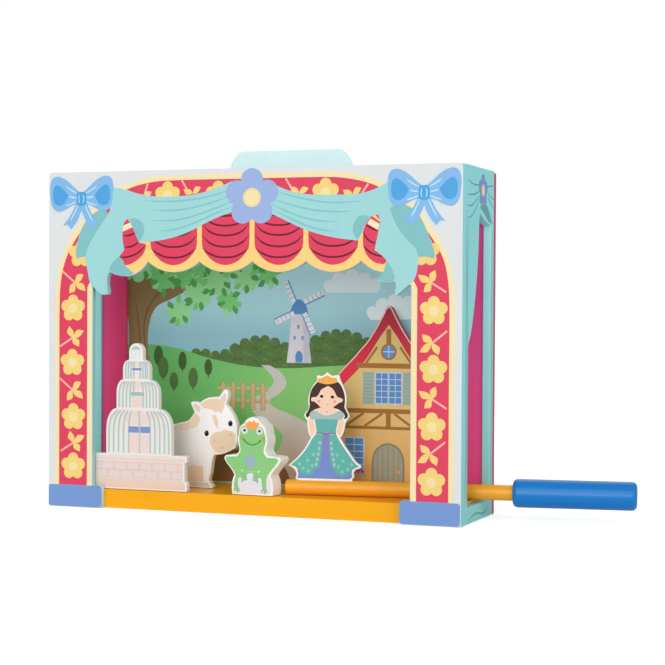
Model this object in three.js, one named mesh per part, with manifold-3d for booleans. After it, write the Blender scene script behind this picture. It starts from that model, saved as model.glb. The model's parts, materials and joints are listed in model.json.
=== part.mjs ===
// Tabletop toy theatre of painted boards: a printed arch in front, side walls with curtain-shaped
// openings, a scene panel that slides up out of its slot, standing figures and a puppet on a rod.
// Millimetres, +Z up. The audience looks along +Y and +X is on its right.
// The origin is the middle of the footprint, on the surface that the theatre stands on.
import * as THREE from 'three';
import { mergeVertices } from 'three/addons/utils/BufferGeometryUtils.js';
import Module from 'manifold-3d';

const wasm = await Module();
wasm.setup();

// Theatre box
const theatreWidth = 350;
const theatreHeight = 271;
const theatreDepth = 93;
const frontThick = 6;
const wallThick = 6;
const backThick = 6;
const floorThick = 15;

// Front board
const columnWidth = 40;
const footStep = 8.5;
const footHeight = 18;
const footRound = 3;
const boardRound = 3;
const valanceShift = 5;
const scallopPitch = 45;
const scallopCount = 4;
const scallopDrop = 8.3;
const valanceHeight = 81;
const tailDrop = 18;
const tailRise = 18.4;
const leftTailReach = 15.3;
const rightTailReach = 12.5;
const rightTailRise = 12;
const lobeRise = 11.5;
const rightLobeRise = 16.3;
const leftTailShares = [
  [0, 0.38], [0.392, 0.087], [0.588, 0], [0.882, 0.011], [0.915, 0.163], [0.85, 0.435], [0.869, 0.761], [1, 1],
];
const leftLobeShares = [
  [0.135, 0.13], [0.308, 0.017], [0.481, 0], [0.654, 0.122], [0.784, 0.348], [0.885, 0.609],
];
const rightLobeShares = [
  [0.218, 0.712], [0.4, 0.552], [0.636, 0.466], [0.527, 0.276], [0.4, 0.123], [0.545, 0.049], [0.727, 0], [1, 0.037],
];
const rightTailShares = [
  [0.04, 0.617], [-0.04, 0.242], [0.064, 0], [0.44, 0.333], [0.864, 0.667], [1, 0.7],
];

// Side walls
const frontStrip = 11;
const rearStrip = 9;
const sillDrop = 2;
const openingHead = 35.5;
const curtainShares = [
  [0.01, 0.553], [0.123, 0.591], [0.238, 0.661], [0.344, 0.751], [0.413, 0.84], [0.451, 0.93],
  [0.467, 0.975], [0.505, 1], [0.59, 0.993], [0.705, 0.982], [0.869, 0.971],
];
const curtainFootShare = 0.526;
const curtainEndShare = 0.966;

// Rear frame, slot and back board
const frameThick = 4;
const frameColumn = 22.3;
const frameRail = 24;
const frameRound = 2;
const slotWidth = 3;
const spacerWidth = 10;

// Scene panel
const panelThick = 2.2;
const panelTopDrop = 5;
const panelSideClear = 0.5;
const tabWidth = 115;
const tabHeight = 26;
const tabShift = 2.3;
const tabHalfShares = [
  [1, 0], [0.934, 0.542], [0.911, 0.654], [0.87, 0.808], [0.826, 0.915], [0.776, 0.985], [0.717, 1],
];

// Dowels and screws
const dowelRadius = 2.5;
const dowelInWall = 4;
const dowelInFloor = 10;
const dowelInset = 15;
const dowelClear = 0.3;
const screwHeadRadius = 1.9;
const screwHeadDepth = 1.1;
const screwRadius = 0.9;
const screwLength = 12;
const screwTipLength = 2;
const screwSink = 0.2;
const screwClear = 0.25;
const recessWidth = 0.5;
const recessReach = 1.2;
const recessDepth = 0.5;
const fastenerFacets = 12;
const wallScrewShares = [0.11, 0.5, 0.89];
const floorScrewShares = [0.17, 0.5, 0.83];

// Rod, handle and the puppet that stands in the rod
const rodRadius = 6;
const rodReachShare = 3 / 7;
const rodTurn = THREE.MathUtils.degToRad(9);
const rodCrossingShare = 0.541;
const rodEndRound = 1;
const gripGap = 29;
const gripLength = 94;
const gripRadius = 11;
const gripRound = 4;
const gripBoreDepth = 25;
const gripBoreClear = 0.3;
const rodFacets = 24;
const gripRoundSteps = 4;
const princessWidth = 59.2;
const princessHeight = 85;
const princessThick = 3;
const princessInset = 31.3;
const tongueWidth = 44;
const tongueDepth = 4.5;
const rodSlotClear = 0.3;

// Standing figures
const standClear = 0.3;
const frogWidth = 49.8;
const frogHeight = 61.6;
const frogThick = 15.5;
const frogRodGap = 4;
const frogFrontGap = 2.6;
const frogTurn = THREE.MathUtils.degToRad(-3);
const ponyWidth = 69.5;
const ponyHeight = 80.8;
const ponyThick = 6;
const ponyPlaceShare = 0.2286;
const ponyFountainGap = 28.8;
const fountainThick = 6;
const fountainPlaceShare = 0.224;
const fountainFrontGap = 1.2;
const basinHalfWidth = 42.8;
const basinHeight = 28.6;
const capHeight = 5.6;
const plinthHeight = 8.6;
const basinStep = 2;
const tierHalfWidths = [29.2, 18.9, 11.9, 6.2];
const tierHeights = [36.7, 23.3, 16, 13.3];
const tierShifts = [-0.2, -1.3, -2.5, -2.7];
const tierShoulderShare = 0.47;
const cottageWallWidth = 83;
const cottageHeight = 148.9;
const cottageThick = 6;
const cottagePlaceShare = 0.772;
const cottageFrameGap = 8;
const eaveHeight = 89.5;
const eaveReach = 5.5;
const eaveSlope = 1.14;
const roofBand = 7;

// Overrun of every cutting tool past the face that it cuts
const overrun = 2;

const stageDepthEnd = theatreDepth - backThick;
const slotFront = stageDepthEnd - slotWidth;
const frameFront = slotFront - frameThick;
const innerWidth = theatreWidth - 2 * wallThick;
const rodReach = rodReachShare * theatreWidth;
const standHeight = floorThick + standClear;

// Materials
const paint = (color, roughness = 0.45) => new THREE.MeshStandardMaterial({ color, roughness, metalness: 0 });
const materials = {
  front: paint(0xe3e8ec),
  wall: paint(0x7fc4c2),
  floor: paint(0xfbae17, 0.3),
  magenta: paint(0xc53b66),
  scene: paint(0xa6cfdf),
  cottage: paint(0xe9c47f),
  fountain: paint(0xf0dcd8),
  pony: paint(0xefe9e4),
  frog: paint(0x8ccb7f),
  princess: paint(0x5db3aa),
  rod: paint(0xf5a23b, 0.35),
  grip: paint(0x2c7fcb, 0.35),
  wood: paint(0xd9b98a, 0.7),
  screw: new THREE.MeshStandardMaterial({ color: 0xb8bcc0, roughness: 0.35, metalness: 1 }),
};

// Booleans: a closed geometry becomes a solid and comes back as a geometry
function toSolid(geometry) {
  const bare = geometry.clone();
  bare.deleteAttribute('normal');
  bare.deleteAttribute('uv');
  const merged = mergeVertices(bare);
  return new wasm.Manifold(new wasm.Mesh({
    numProp: 3,
    vertProperties: merged.attributes.position.array,
    triVerts: merged.index.array,
  }));
}

function toGeometry(solid) {
  const mesh = solid.getMesh();
  const geometry = new THREE.BufferGeometry();
  geometry.setAttribute('position', new THREE.BufferAttribute(mesh.vertProperties, 3));
  geometry.setIndex(new THREE.BufferAttribute(mesh.triVerts, 1));
  geometry.computeVertexNormals();
  return geometry;
}

function cut(geometry, tools) {
  let solid = toSolid(geometry);
  for (const tool of tools) solid = solid.subtract(toSolid(tool));
  return toGeometry(solid);
}

function join(geometries) {
  let solid = toSolid(geometries[0]);
  for (const other of geometries.slice(1)) solid = solid.add(toSolid(other));
  return toGeometry(solid);
}

// A shape drawn in X and Z becomes a board from its front face at Y = 0 to its rear face at Y = thick
function standingBoard(shape, thick, curveSegments = 6) {
  const geometry = new THREE.ExtrudeGeometry(shape, { depth: thick, bevelEnabled: false, curveSegments });
  return geometry.rotateX(Math.PI / 2).translate(0, thick, 0);
}

// A shape drawn in Y and Z becomes a board from X = 0 to X = thick
function sideBoard(shape, thick, curveSegments = 6) {
  const geometry = new THREE.ExtrudeGeometry(shape, { depth: thick, bevelEnabled: false, curveSegments });
  const basis = new THREE.Matrix4().makeBasis(
    new THREE.Vector3(0, 1, 0), new THREE.Vector3(0, 0, 1), new THREE.Vector3(1, 0, 0));
  return geometry.applyMatrix4(basis);
}

// A box between two corners
function block(x0, x1, y0, y1, z0, z1) {
  return new THREE.BoxGeometry(x1 - x0, y1 - y0, z1 - z0)
    .translate((x0 + x1) / 2, (y0 + y1) / 2, (z0 + z1) / 2);
}

// A profile of [radius, distance] points turned about its axis, which is then laid along +X
function turnedAlongX(profile, segments) {
  const points = profile.map(([radius, along]) => new THREE.Vector2(radius, along));
  return new THREE.LatheGeometry(points, segments).rotateZ(-Math.PI / 2);
}

function lineThrough(path, points) {
  for (const [x, z] of points) path.lineTo(x, z);
}

// Shares of a width and a height, measured from a corner
function fromShares(shares, x0, width, z0, height) {
  return shares.map(([x, z]) => [x0 + x * width, z0 + z * height]);
}

// The right half of a symmetrical run of points, given in shares, and its mirror image
function mirroredPoints(halfShares, centre, width, z0, height) {
  const right = fromShares(halfShares, centre, width / 2, z0, height);
  const left = right.filter(([x]) => x > centre).map(([x, z]) => [2 * centre - x, z]).reverse();
  return [...right, ...left];
}

function outlineOf(points) {
  const shape = new THREE.Shape();
  shape.moveTo(...points[0]);
  lineThrough(shape, points.slice(1));
  shape.closePath();
  return shape;
}

// Places on the front board
const footWidth = columnWidth + footStep;
const rightColumn = theatreWidth - columnWidth;
const scallopLow = theatreHeight - valanceHeight;
const tailTip = scallopLow - tailDrop;
const valanceCentre = theatreWidth / 2 + valanceShift;
const firstCusp = valanceCentre - scallopPitch * scallopCount / 2;
const lastCusp = valanceCentre + scallopPitch * scallopCount / 2;
const cuspHeight = scallopLow + scallopDrop;

// Scallops hang between the cusps as equal arcs, from left to right
function addScallops(shape) {
  const scallopRadius = (scallopPitch ** 2 / 4 + scallopDrop ** 2) / (2 * scallopDrop);
  const halfAngle = Math.asin(scallopPitch / 2 / scallopRadius);
  for (let i = 0; i < scallopCount; i += 1) {
    const middle = firstCusp + scallopPitch * (i + 0.5);
    shape.absarc(middle, scallopLow + scallopRadius, scallopRadius,
      -Math.PI / 2 - halfAngle, -Math.PI / 2 + halfAngle, false);
  }
}

function frontOutline() {
  const leftTailEnd = columnWidth + leftTailReach;
  const rightTailEnd = rightColumn - rightTailReach;
  const lobeFoot = cuspHeight - lobeRise;
  const rightLobeFoot = cuspHeight - rightLobeRise;
  const shape = new THREE.Shape();
  shape.moveTo(0, 0);
  shape.lineTo(footWidth, 0);
  shape.absarc(footWidth - footRound, footHeight - footRound, footRound, 0, Math.PI / 2, false);
  shape.lineTo(columnWidth, footHeight);
  lineThrough(shape, fromShares(leftTailShares, columnWidth, leftTailReach, tailTip, tailRise));
  lineThrough(shape, fromShares(leftLobeShares, leftTailEnd, firstCusp - leftTailEnd, lobeFoot, lobeRise));
  addScallops(shape);
  lineThrough(shape, fromShares(rightLobeShares, lastCusp, rightTailEnd - lastCusp, rightLobeFoot, rightLobeRise));
  lineThrough(shape, fromShares(rightTailShares, rightTailEnd, rightTailReach, tailTip, rightTailRise));
  shape.lineTo(rightColumn, footHeight);
  shape.absarc(theatreWidth - footWidth + footRound, footHeight - footRound, footRound, Math.PI / 2, Math.PI, false);
  shape.lineTo(theatreWidth - footWidth, 0);
  shape.lineTo(theatreWidth, 0);
  shape.absarc(theatreWidth - boardRound, theatreHeight - boardRound, boardRound, 0, Math.PI / 2, false);
  shape.absarc(boardRound, theatreHeight - boardRound, boardRound, Math.PI / 2, Math.PI, false);
  shape.closePath();
  return shape;
}

// Dowels stand in blind holes, partly in the stage floor and partly in a wall or a foot
const floorMiddle = floorThick / 2;

function dowelAlongX(radius, extra) {
  return turnedAlongX([
    [0, -dowelInWall - extra], [radius, -dowelInWall - extra],
    [radius, dowelInFloor + extra], [0, dowelInFloor + extra],
  ], fastenerFacets);
}

const dowelRows = [
  ['left_front', wallThick, frontThick + dowelInset, 0],
  ['left_rear', wallThick, stageDepthEnd - dowelInset, 0],
  ['right_front', theatreWidth - wallThick, frontThick + dowelInset, Math.PI],
  ['right_rear', theatreWidth - wallThick, stageDepthEnd - dowelInset, Math.PI],
];
const footDowelRows = [
  ['left', footWidth / 2],
  ['right', theatreWidth - footWidth / 2],
];

function floorDowel([, x, y, turn], radius, extra) {
  return dowelAlongX(radius, extra).rotateZ(turn).translate(x, y, floorMiddle);
}

function footDowel([, x], radius, extra) {
  return dowelAlongX(radius, extra).rotateZ(Math.PI / 2).translate(x, frontThick, floorMiddle);
}

const dowelHoles = dowelRows.map((row) => floorDowel(row, dowelRadius + dowelClear, dowelClear));
const footHoles = footDowelRows.map((row) => footDowel(row, dowelRadius + dowelClear, dowelClear));

// Screws go in from the back, along -Y, with their heads sunk in the back board
function screwBody(grow) {
  return turnedAlongX([
    [0, -grow], [screwHeadRadius + grow, -grow], [screwHeadRadius + grow, grow],
    [screwRadius + grow, screwHeadDepth + grow],
    [screwRadius + grow, screwLength - screwTipLength], [0, screwLength + grow],
  ], fastenerFacets);
}

function screwTool() {
  const body = screwBody(screwClear);
  const mouth = turnedAlongX([
    [0, -overrun], [screwHeadRadius + screwClear, -overrun], [screwHeadRadius + screwClear, 0], [0, 0],
  ], fastenerFacets);
  return join([body, mouth]);
}

function screwGeometry() {
  const arm = (along, across) => block(
    -overrun, recessDepth, -along / 2, along / 2, -across / 2, across / 2);
  return cut(screwBody(0), [
    join([arm(2 * recessReach, recessWidth), arm(recessWidth, 2 * recessReach)]),
  ]);
}

const screwPlaces = [
  ...wallScrewShares.map((share) => [wallThick / 2, share * theatreHeight]),
  ...wallScrewShares.map((share) => [theatreWidth - wallThick / 2, share * theatreHeight]),
  ...floorScrewShares.map((share) => [share * theatreWidth, floorMiddle]),
];
const placeScrew = (geometry, [x, z]) => geometry.rotateZ(-Math.PI / 2).translate(x, theatreDepth - screwSink, z);
const screwHoles = screwPlaces.map((place) => placeScrew(screwTool(), place));

// Places of the side openings
const openingFront = frontThick + frontStrip;
const openingRear = stageDepthEnd - rearStrip;
const openingDepth = openingRear - openingFront;
const sillHeight = floorThick - sillDrop;
const openingHeight = theatreHeight - openingHead - sillHeight;

function wallOutline() {
  const wall = new THREE.Shape();
  wall.moveTo(frontThick, 0);
  wall.lineTo(stageDepthEnd, 0);
  wall.lineTo(stageDepthEnd, theatreHeight);
  wall.lineTo(frontThick, theatreHeight);
  wall.closePath();
  const opening = new THREE.Path();
  opening.moveTo(openingRear, sillHeight);
  opening.lineTo(openingFront, sillHeight);
  opening.lineTo(openingFront, sillHeight + curtainFootShare * openingHeight);
  opening.splineThru([
    ...fromShares(curtainShares, openingFront, openingDepth, sillHeight, openingHeight),
    [openingRear, sillHeight + curtainEndShare * openingHeight],
  ].map(([y, z]) => new THREE.Vector2(y, z)));
  opening.closePath();
  wall.holes.push(opening);
  return wall;
}

// The rear frame is open down to the stage floor
function frameOutline() {
  const windowLeft = frameColumn;
  const windowRight = innerWidth - frameColumn;
  const railFoot = theatreHeight - frameRail;
  const shape = new THREE.Shape();
  shape.moveTo(0, floorThick);
  shape.lineTo(windowLeft, floorThick);
  shape.absarc(windowLeft + frameRound, railFoot - frameRound, frameRound, Math.PI, Math.PI / 2, true);
  shape.absarc(windowRight - frameRound, railFoot - frameRound, frameRound, Math.PI / 2, 0, true);
  shape.lineTo(windowRight, floorThick);
  shape.lineTo(innerWidth, floorThick);
  shape.lineTo(innerWidth, theatreHeight);
  shape.lineTo(0, theatreHeight);
  shape.closePath();
  return shape;
}

function backdropOutline() {
  const panelLeft = wallThick + spacerWidth + panelSideClear;
  const panelRight = theatreWidth - panelLeft;
  const panelFoot = floorThick + standClear;
  const panelTop = theatreHeight - panelTopDrop;
  return outlineOf([
    [panelLeft, panelFoot], [panelRight, panelFoot], [panelRight, panelTop],
    ...mirroredPoints(tabHalfShares, theatreWidth / 2 + tabShift, tabWidth, panelTop, tabHeight),
    [panelLeft, panelTop],
  ]);
}

// Figures: each outline starts at its right foot, and a symmetrical one gives only its right half
const frogHalfShares = [
  [0.703, 0], [0.723, 0.06], [0.727, 0.097], [0.703, 0.179], [0.635, 0.255], [0.747, 0.323], [0.932, 0.411],
  [1, 0.463], [0.944, 0.497], [0.747, 0.506], [0.562, 0.51], [0.474, 0.554], [0.462, 0.596], [0.51, 0.661],
  [0.518, 0.726], [0.482, 0.771], [0.462, 0.831], [0.414, 0.883], [0.297, 0.917], [0.237, 0.953],
  [0.141, 0.982], [0, 1],
];
const princessShares = [
  [0.833, 0], [0.878, 0.021], [0.902, 0.038], [0.89, 0.058], [0.895, 0.084], [0.922, 0.107], [0.966, 0.115],
  [1, 0.132], [0.966, 0.152], [0.922, 0.176], [0.861, 0.232], [0.801, 0.292], [0.755, 0.338],
  [0.706, 0.393], [0.74, 0.429], [0.76, 0.472], [0.769, 0.507], [0.78, 0.541], [0.804, 0.565],
  [0.829, 0.591], [0.821, 0.615], [0.794, 0.652], [0.779, 0.682], [0.787, 0.718], [0.787, 0.759],
  [0.777, 0.811], [0.75, 0.861], [0.723, 0.901], [0.703, 0.932], [0.689, 0.971], [0.645, 0.973],
  [0.6, 0.965], [0.562, 0.978], [0.524, 1], [0.49, 0.975], [0.444, 0.96], [0.407, 0.969], [0.385, 0.965],
  [0.392, 0.931], [0.377, 0.909], [0.34, 0.879], [0.302, 0.827], [0.277, 0.775], [0.269, 0.724],
  [0.279, 0.682], [0.267, 0.647], [0.228, 0.62], [0.218, 0.594], [0.236, 0.569], [0.26, 0.549],
  [0.26, 0.518], [0.269, 0.467], [0.284, 0.426], [0.311, 0.391], [0.291, 0.369], [0.247, 0.312],
  [0.194, 0.26], [0.118, 0.201], [0.042, 0.154], [0, 0.129], [0.035, 0.121], [0.074, 0.104], [0.105, 0.078],
  [0.117, 0.047], [0.101, 0.011], [0.12, 0],
];
const ponyShares = [
  [0.683, 0], [0.695, 0.015], [0.673, 0.037], [0.642, 0.075], [0.645, 0.098], [0.666, 0.166],
  [0.679, 0.256], [0.694, 0.312], [0.708, 0.337], [0.744, 0.339], [0.816, 0.35], [0.885, 0.375],
  [0.971, 0.411], [1, 0.479], [1, 0.566], [0.993, 0.647], [0.983, 0.679], [0.961, 0.724], [0.925, 0.778],
  [0.883, 0.822], [0.853, 0.849], [0.869, 0.884], [0.882, 0.923], [0.882, 0.968], [0.868, 0.991],
  [0.839, 1], [0.816, 0.979], [0.787, 0.948], [0.765, 0.92], [0.694, 0.92], [0.623, 0.91], [0.565, 0.886],
  [0.515, 0.854], [0.466, 0.868], [0.416, 0.866], [0.401, 0.849], [0.436, 0.788], [0.45, 0.761],
  [0.423, 0.725], [0.394, 0.692], [0.351, 0.668], [0.294, 0.656], [0.201, 0.636], [0.105, 0.62],
  [0.032, 0.557], [0, 0.454], [0.009, 0.318], [0.024, 0.127], [0.017, 0], [0.196, 0], [0.201, 0.17],
  [0.259, 0.231], [0.338, 0.202], [0.36, 0],
];
const roofHalfShares = [
  [1, 0], [0.896, 0.094], [0.836, 0.148], [0.734, 0.231], [0.617, 0.323], [0.515, 0.416], [0.417, 0.498],
  [0.328, 0.596], [0.247, 0.694], [0.177, 0.791], [0.109, 0.889], [0.068, 0.956], [0.036, 0.988], [0, 1],
];

// The fountain is a stepped basin under four round-shouldered tiers, each a little left of the last
function fountainOutline() {
  const brickHalfWidth = basinHalfWidth - basinStep;
  const brickTop = basinHeight - capHeight;
  const basin = [
    [basinHalfWidth, 0], [basinHalfWidth, plinthHeight - basinStep], [brickHalfWidth, plinthHeight],
    [brickHalfWidth, brickTop], [basinHalfWidth, brickTop], [basinHalfWidth, basinHeight],
  ];
  const shape = new THREE.Shape();
  shape.moveTo(-basinHalfWidth, 0);
  lineThrough(shape, basin);
  const tiers = tierHalfWidths.map((halfWidth, i) => {
    const foot = basinHeight + tierHeights.slice(0, i).reduce((sum, height) => sum + height, 0);
    const shoulder = tierHeights[i] * tierShoulderShare;
    const above = tierHalfWidths[i + 1] ?? 0;
    const shiftAbove = tierShifts[i + 1] ?? tierShifts[i];
    return {
      foot, shoulder, middle: foot + tierHeights[i] - shoulder,
      right: tierShifts[i] + halfWidth, innerRight: shiftAbove + above,
      left: tierShifts[i] - halfWidth, innerLeft: shiftAbove - above,
    };
  });
  for (const { foot, shoulder, middle, right, innerRight } of tiers) {
    shape.lineTo(right, foot);
    shape.absellipse(innerRight, middle, right - innerRight, shoulder, 0, Math.PI / 2, false, 0);
  }
  for (const { foot, shoulder, middle, left, innerLeft } of tiers.reverse()) {
    shape.absellipse(innerLeft, middle, innerLeft - left, shoulder, Math.PI / 2, Math.PI, false, 0);
    shape.lineTo(left, foot);
  }
  lineThrough(shape, basin.slice(1).reverse().map(([x, z]) => [-x, z]));
  shape.closePath();
  return shape;
}

// The cottage is a wall under a steep, swept roof whose band overhangs both eaves
function cottageOutline() {
  const half = cottageWallWidth / 2;
  const reach = half + eaveReach;
  const run = roofBand / Math.hypot(1, eaveSlope);
  const soffit = [reach - run * eaveSlope, eaveHeight - run];
  const soffitAtWall = soffit[1] + (soffit[0] - half) * eaveSlope;
  return outlineOf([
    [-half, 0], [half, 0], [half, soffitAtWall], soffit,
    ...mirroredPoints(roofHalfShares, 0, 2 * reach, eaveHeight, cottageHeight - eaveHeight),
    [-soffit[0], soffit[1]], [-half, soffitAtWall],
  ]);
}

// Rod and handle are drawn along local X from the middle of the right wall, outwards
const rodSlotWidth = princessThick + 2 * rodSlotClear;
const rodSlotDepth = tongueDepth + rodSlotClear;
const rodWallX = theatreWidth - wallThick / 2;
const rodWallY = openingFront + rodCrossingShare * openingDepth;
const princessOffset = rodReach - princessInset;

function rodGeometry() {
  const rodEnd = gripGap + gripBoreDepth - gripBoreClear;
  const bar = turnedAlongX([
    [0, -rodReach], [rodRadius - rodEndRound, -rodReach], [rodRadius, -rodReach + rodEndRound],
    [rodRadius, rodEnd], [0, rodEnd],
  ], rodFacets);
  const slotHalf = tongueWidth / 2 + rodSlotClear;
  const slot = block(-princessOffset - slotHalf, -princessOffset + slotHalf,
    -rodSlotWidth / 2, rodSlotWidth / 2, rodRadius - rodSlotDepth, rodRadius + overrun);
  return cut(bar, [slot]);
}

function gripGeometry() {
  const corner = (sign) => Array.from({ length: gripRoundSteps + 1 }, (_, i) => {
    const angle = Math.PI / 2 * (sign < 0 ? i : gripRoundSteps - i) / gripRoundSteps;
    const middle = sign < 0 ? gripGap + gripRound : gripGap + gripLength - gripRound;
    return [gripRadius - gripRound * (1 - Math.sin(angle)), middle + sign * gripRound * Math.cos(angle)];
  });
  const boreRadius = rodRadius + gripBoreClear;
  const boreEnd = gripGap + gripBoreDepth;
  return turnedAlongX([
    [boreRadius, gripGap], ...corner(-1), ...corner(1), [0, gripGap + gripLength],
    [0, boreEnd], [boreRadius, boreEnd], [boreRadius, gripGap],
  ], rodFacets);
}

function princessGeometry() {
  const outline = outlineOf(fromShares(princessShares, -princessWidth / 2, princessWidth, 0, princessHeight));
  const body = standingBoard(outline, princessThick);
  const tongue = block(-tongueWidth / 2, tongueWidth / 2, 0, princessThick, -tongueDepth, overrun);
  return join([body, tongue]);
}

// Assembly: the theatre group starts at the front left corner of the footprint
const theatre = new THREE.Group();
theatre.position.set(-theatreWidth / 2, -theatreDepth / 2, 0);

function add(parent, name, geometry, material, x = 0, y = 0, z = 0) {
  const mesh = new THREE.Mesh(geometry, material);
  mesh.name = name;
  mesh.position.set(x, y, z);
  parent.add(mesh);
  return mesh;
}

const leftWallHoles = [...dowelHoles.slice(0, 2), ...screwHoles.slice(0, wallScrewShares.length)];
const rightWallHoles = [
  ...dowelHoles.slice(2), ...screwHoles.slice(wallScrewShares.length, 2 * wallScrewShares.length)];
const floorHoles = [...dowelHoles, ...footHoles, ...screwHoles.slice(2 * wallScrewShares.length)];
const wall = sideBoard(wallOutline(), wallThick, 2);

add(theatre, 'front_board', cut(standingBoard(frontOutline(), frontThick), footHoles), materials.front);
add(theatre, 'left_wall', cut(wall, leftWallHoles), materials.wall);
add(theatre, 'right_wall', cut(wall.clone().translate(theatreWidth - wallThick, 0, 0), rightWallHoles), materials.wall);
add(theatre, 'stage_floor', cut(
  block(wallThick, theatreWidth - wallThick, frontThick, stageDepthEnd, 0, floorThick), floorHoles), materials.floor);
add(theatre, 'rear_frame', standingBoard(frameOutline(), frameThick), materials.magenta, wallThick, frameFront);
add(theatre, 'slot_spacer_left', block(
  wallThick, wallThick + spacerWidth, slotFront, stageDepthEnd, floorThick, theatreHeight), materials.magenta);
add(theatre, 'slot_spacer_right', block(
  theatreWidth - wallThick - spacerWidth, theatreWidth - wallThick, slotFront, stageDepthEnd,
  floorThick, theatreHeight), materials.magenta);

const backOutline = new THREE.Shape();
backOutline.moveTo(0, 0);
backOutline.lineTo(theatreWidth, 0);
backOutline.absarc(theatreWidth - boardRound, theatreHeight - boardRound, boardRound, 0, Math.PI / 2, false);
backOutline.absarc(boardRound, theatreHeight - boardRound, boardRound, Math.PI / 2, Math.PI, false);
backOutline.closePath();
add(theatre, 'back_board', cut(
  standingBoard(backOutline, backThick).translate(0, stageDepthEnd, 0), screwHoles), materials.magenta);
add(theatre, 'backdrop', standingBoard(backdropOutline(), panelThick), materials.scene,
  0, slotFront + (slotWidth - panelThick) / 2);

for (const row of dowelRows) add(theatre, `floor_dowel_${row[0]}`, floorDowel(row, dowelRadius, 0), materials.wood);
for (const row of footDowelRows) add(theatre, `foot_dowel_${row[0]}`, footDowel(row, dowelRadius, 0), materials.wood);
screwPlaces.forEach((place, i) => {
  add(theatre, `back_screw_${i + 1}`, placeScrew(screwGeometry(), place), materials.screw);
});

const fountainFront = frontThick + fountainFrontGap;
add(theatre, 'fountain', standingBoard(fountainOutline(), fountainThick), materials.fountain,
  fountainPlaceShare * theatreWidth, fountainFront, standHeight);

const ponyFront = fountainFront + fountainThick + ponyFountainGap;
add(theatre, 'pony', standingBoard(
  outlineOf(fromShares(ponyShares, 0, ponyWidth, 0, ponyHeight)), ponyThick), materials.pony,
ponyPlaceShare * theatreWidth, ponyFront, standHeight);

const frogFoot = frogHalfShares[0][0] * frogWidth / 2;
const frogX = rodWallX - rodReach * Math.cos(rodTurn) - frogRodGap - frogFoot;
const frog = add(theatre, 'frog', standingBoard(
  outlineOf(mirroredPoints(frogHalfShares, 0, frogWidth, 0, frogHeight)), frogThick), materials.frog,
frogX, frontThick + frogFrontGap, standHeight);
frog.rotation.z = frogTurn;

const cottageFront = frameFront - cottageFrameGap - cottageThick;
add(theatre, 'cottage', standingBoard(cottageOutline(), cottageThick), materials.cottage,
  cottagePlaceShare * theatreWidth, cottageFront, standHeight);

const rodGroup = new THREE.Group();
rodGroup.position.set(rodWallX, rodWallY, standHeight + rodRadius);
rodGroup.rotation.z = rodTurn;
theatre.add(rodGroup);
add(rodGroup, 'puppet_rod', rodGeometry(), materials.rod);
add(rodGroup, 'rod_handle', gripGeometry(), materials.grip);
add(rodGroup, 'princess', princessGeometry(), materials.princess,
  -princessOffset, -princessThick / 2, rodRadius);

const model = new THREE.Group();
model.add(theatre);

export default model;
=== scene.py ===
import json
import math

import bpy
from mathutils import Matrix, Vector

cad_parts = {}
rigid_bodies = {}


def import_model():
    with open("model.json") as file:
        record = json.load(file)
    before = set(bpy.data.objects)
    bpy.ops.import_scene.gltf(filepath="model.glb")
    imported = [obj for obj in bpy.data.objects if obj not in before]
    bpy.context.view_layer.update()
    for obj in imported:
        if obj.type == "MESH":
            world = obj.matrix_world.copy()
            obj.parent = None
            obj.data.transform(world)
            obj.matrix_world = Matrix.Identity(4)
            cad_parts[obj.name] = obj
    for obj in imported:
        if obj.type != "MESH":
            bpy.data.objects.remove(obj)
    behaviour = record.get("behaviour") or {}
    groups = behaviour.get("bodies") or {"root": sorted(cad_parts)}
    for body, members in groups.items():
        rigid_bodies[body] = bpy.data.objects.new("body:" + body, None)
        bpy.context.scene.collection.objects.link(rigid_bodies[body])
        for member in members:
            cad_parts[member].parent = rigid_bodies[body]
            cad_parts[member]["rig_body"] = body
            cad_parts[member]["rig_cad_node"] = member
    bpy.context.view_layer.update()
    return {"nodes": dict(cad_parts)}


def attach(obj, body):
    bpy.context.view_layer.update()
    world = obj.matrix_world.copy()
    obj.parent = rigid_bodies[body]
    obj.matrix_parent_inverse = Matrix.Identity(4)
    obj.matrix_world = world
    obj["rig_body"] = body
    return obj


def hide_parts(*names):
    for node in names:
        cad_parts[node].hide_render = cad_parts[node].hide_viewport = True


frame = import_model()
print("frame loaded")

# Sizes in millimetres are counted from the theatre's left front corner at the table
mm = 0.001
theatre = {"width": 350, "depth": 93, "figureFoot": 15.3}


# Camera at the photograph's angle
view = {"place": (0.53174, -1.26113, 0.16637), "turn": (89.0102, -0.329, 20.7275), "lens": 92.082}

bpy.ops.object.camera_add(location=view["place"], rotation=[math.radians(a) for a in view["turn"]])
camera = bpy.context.active_object
camera.name = "photoCamera"
camera.data.sensor_width = 36
camera.data.lens = view["lens"]
camera.data.clip_start = 0.05
bpy.context.scene.camera = camera
bpy.context.scene.view_settings.view_transform = "Standard"


# Node trees: a wire is a socket, and a sum or product of wires adds its Math nodes
class Wire:
    def __init__(self, paint, socket):
        self.paint = paint
        self.socket = socket

    def maths(self, operation, other):
        return self.paint.add("Math", {"operation": operation}, {0: self, 1: other})

    def __add__(self, other):
        return self.maths("ADD", other)

    def __mul__(self, other):
        return self.maths("MULTIPLY", other)

    def __truediv__(self, other):
        return self.maths("DIVIDE", other)

    __radd__ = __add__
    __rmul__ = __mul__


def colourOf(code, strength=1.0):
    values = []
    for i in (0, 2, 4):
        share = int(code[i:i + 2], 16) / 255
        share = share / 12.92 if share <= 0.04045 else ((share + 0.055) / 1.055) ** 2.4
        values.append(min(share * strength, 1.0))
    return (*values, 1.0)


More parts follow.
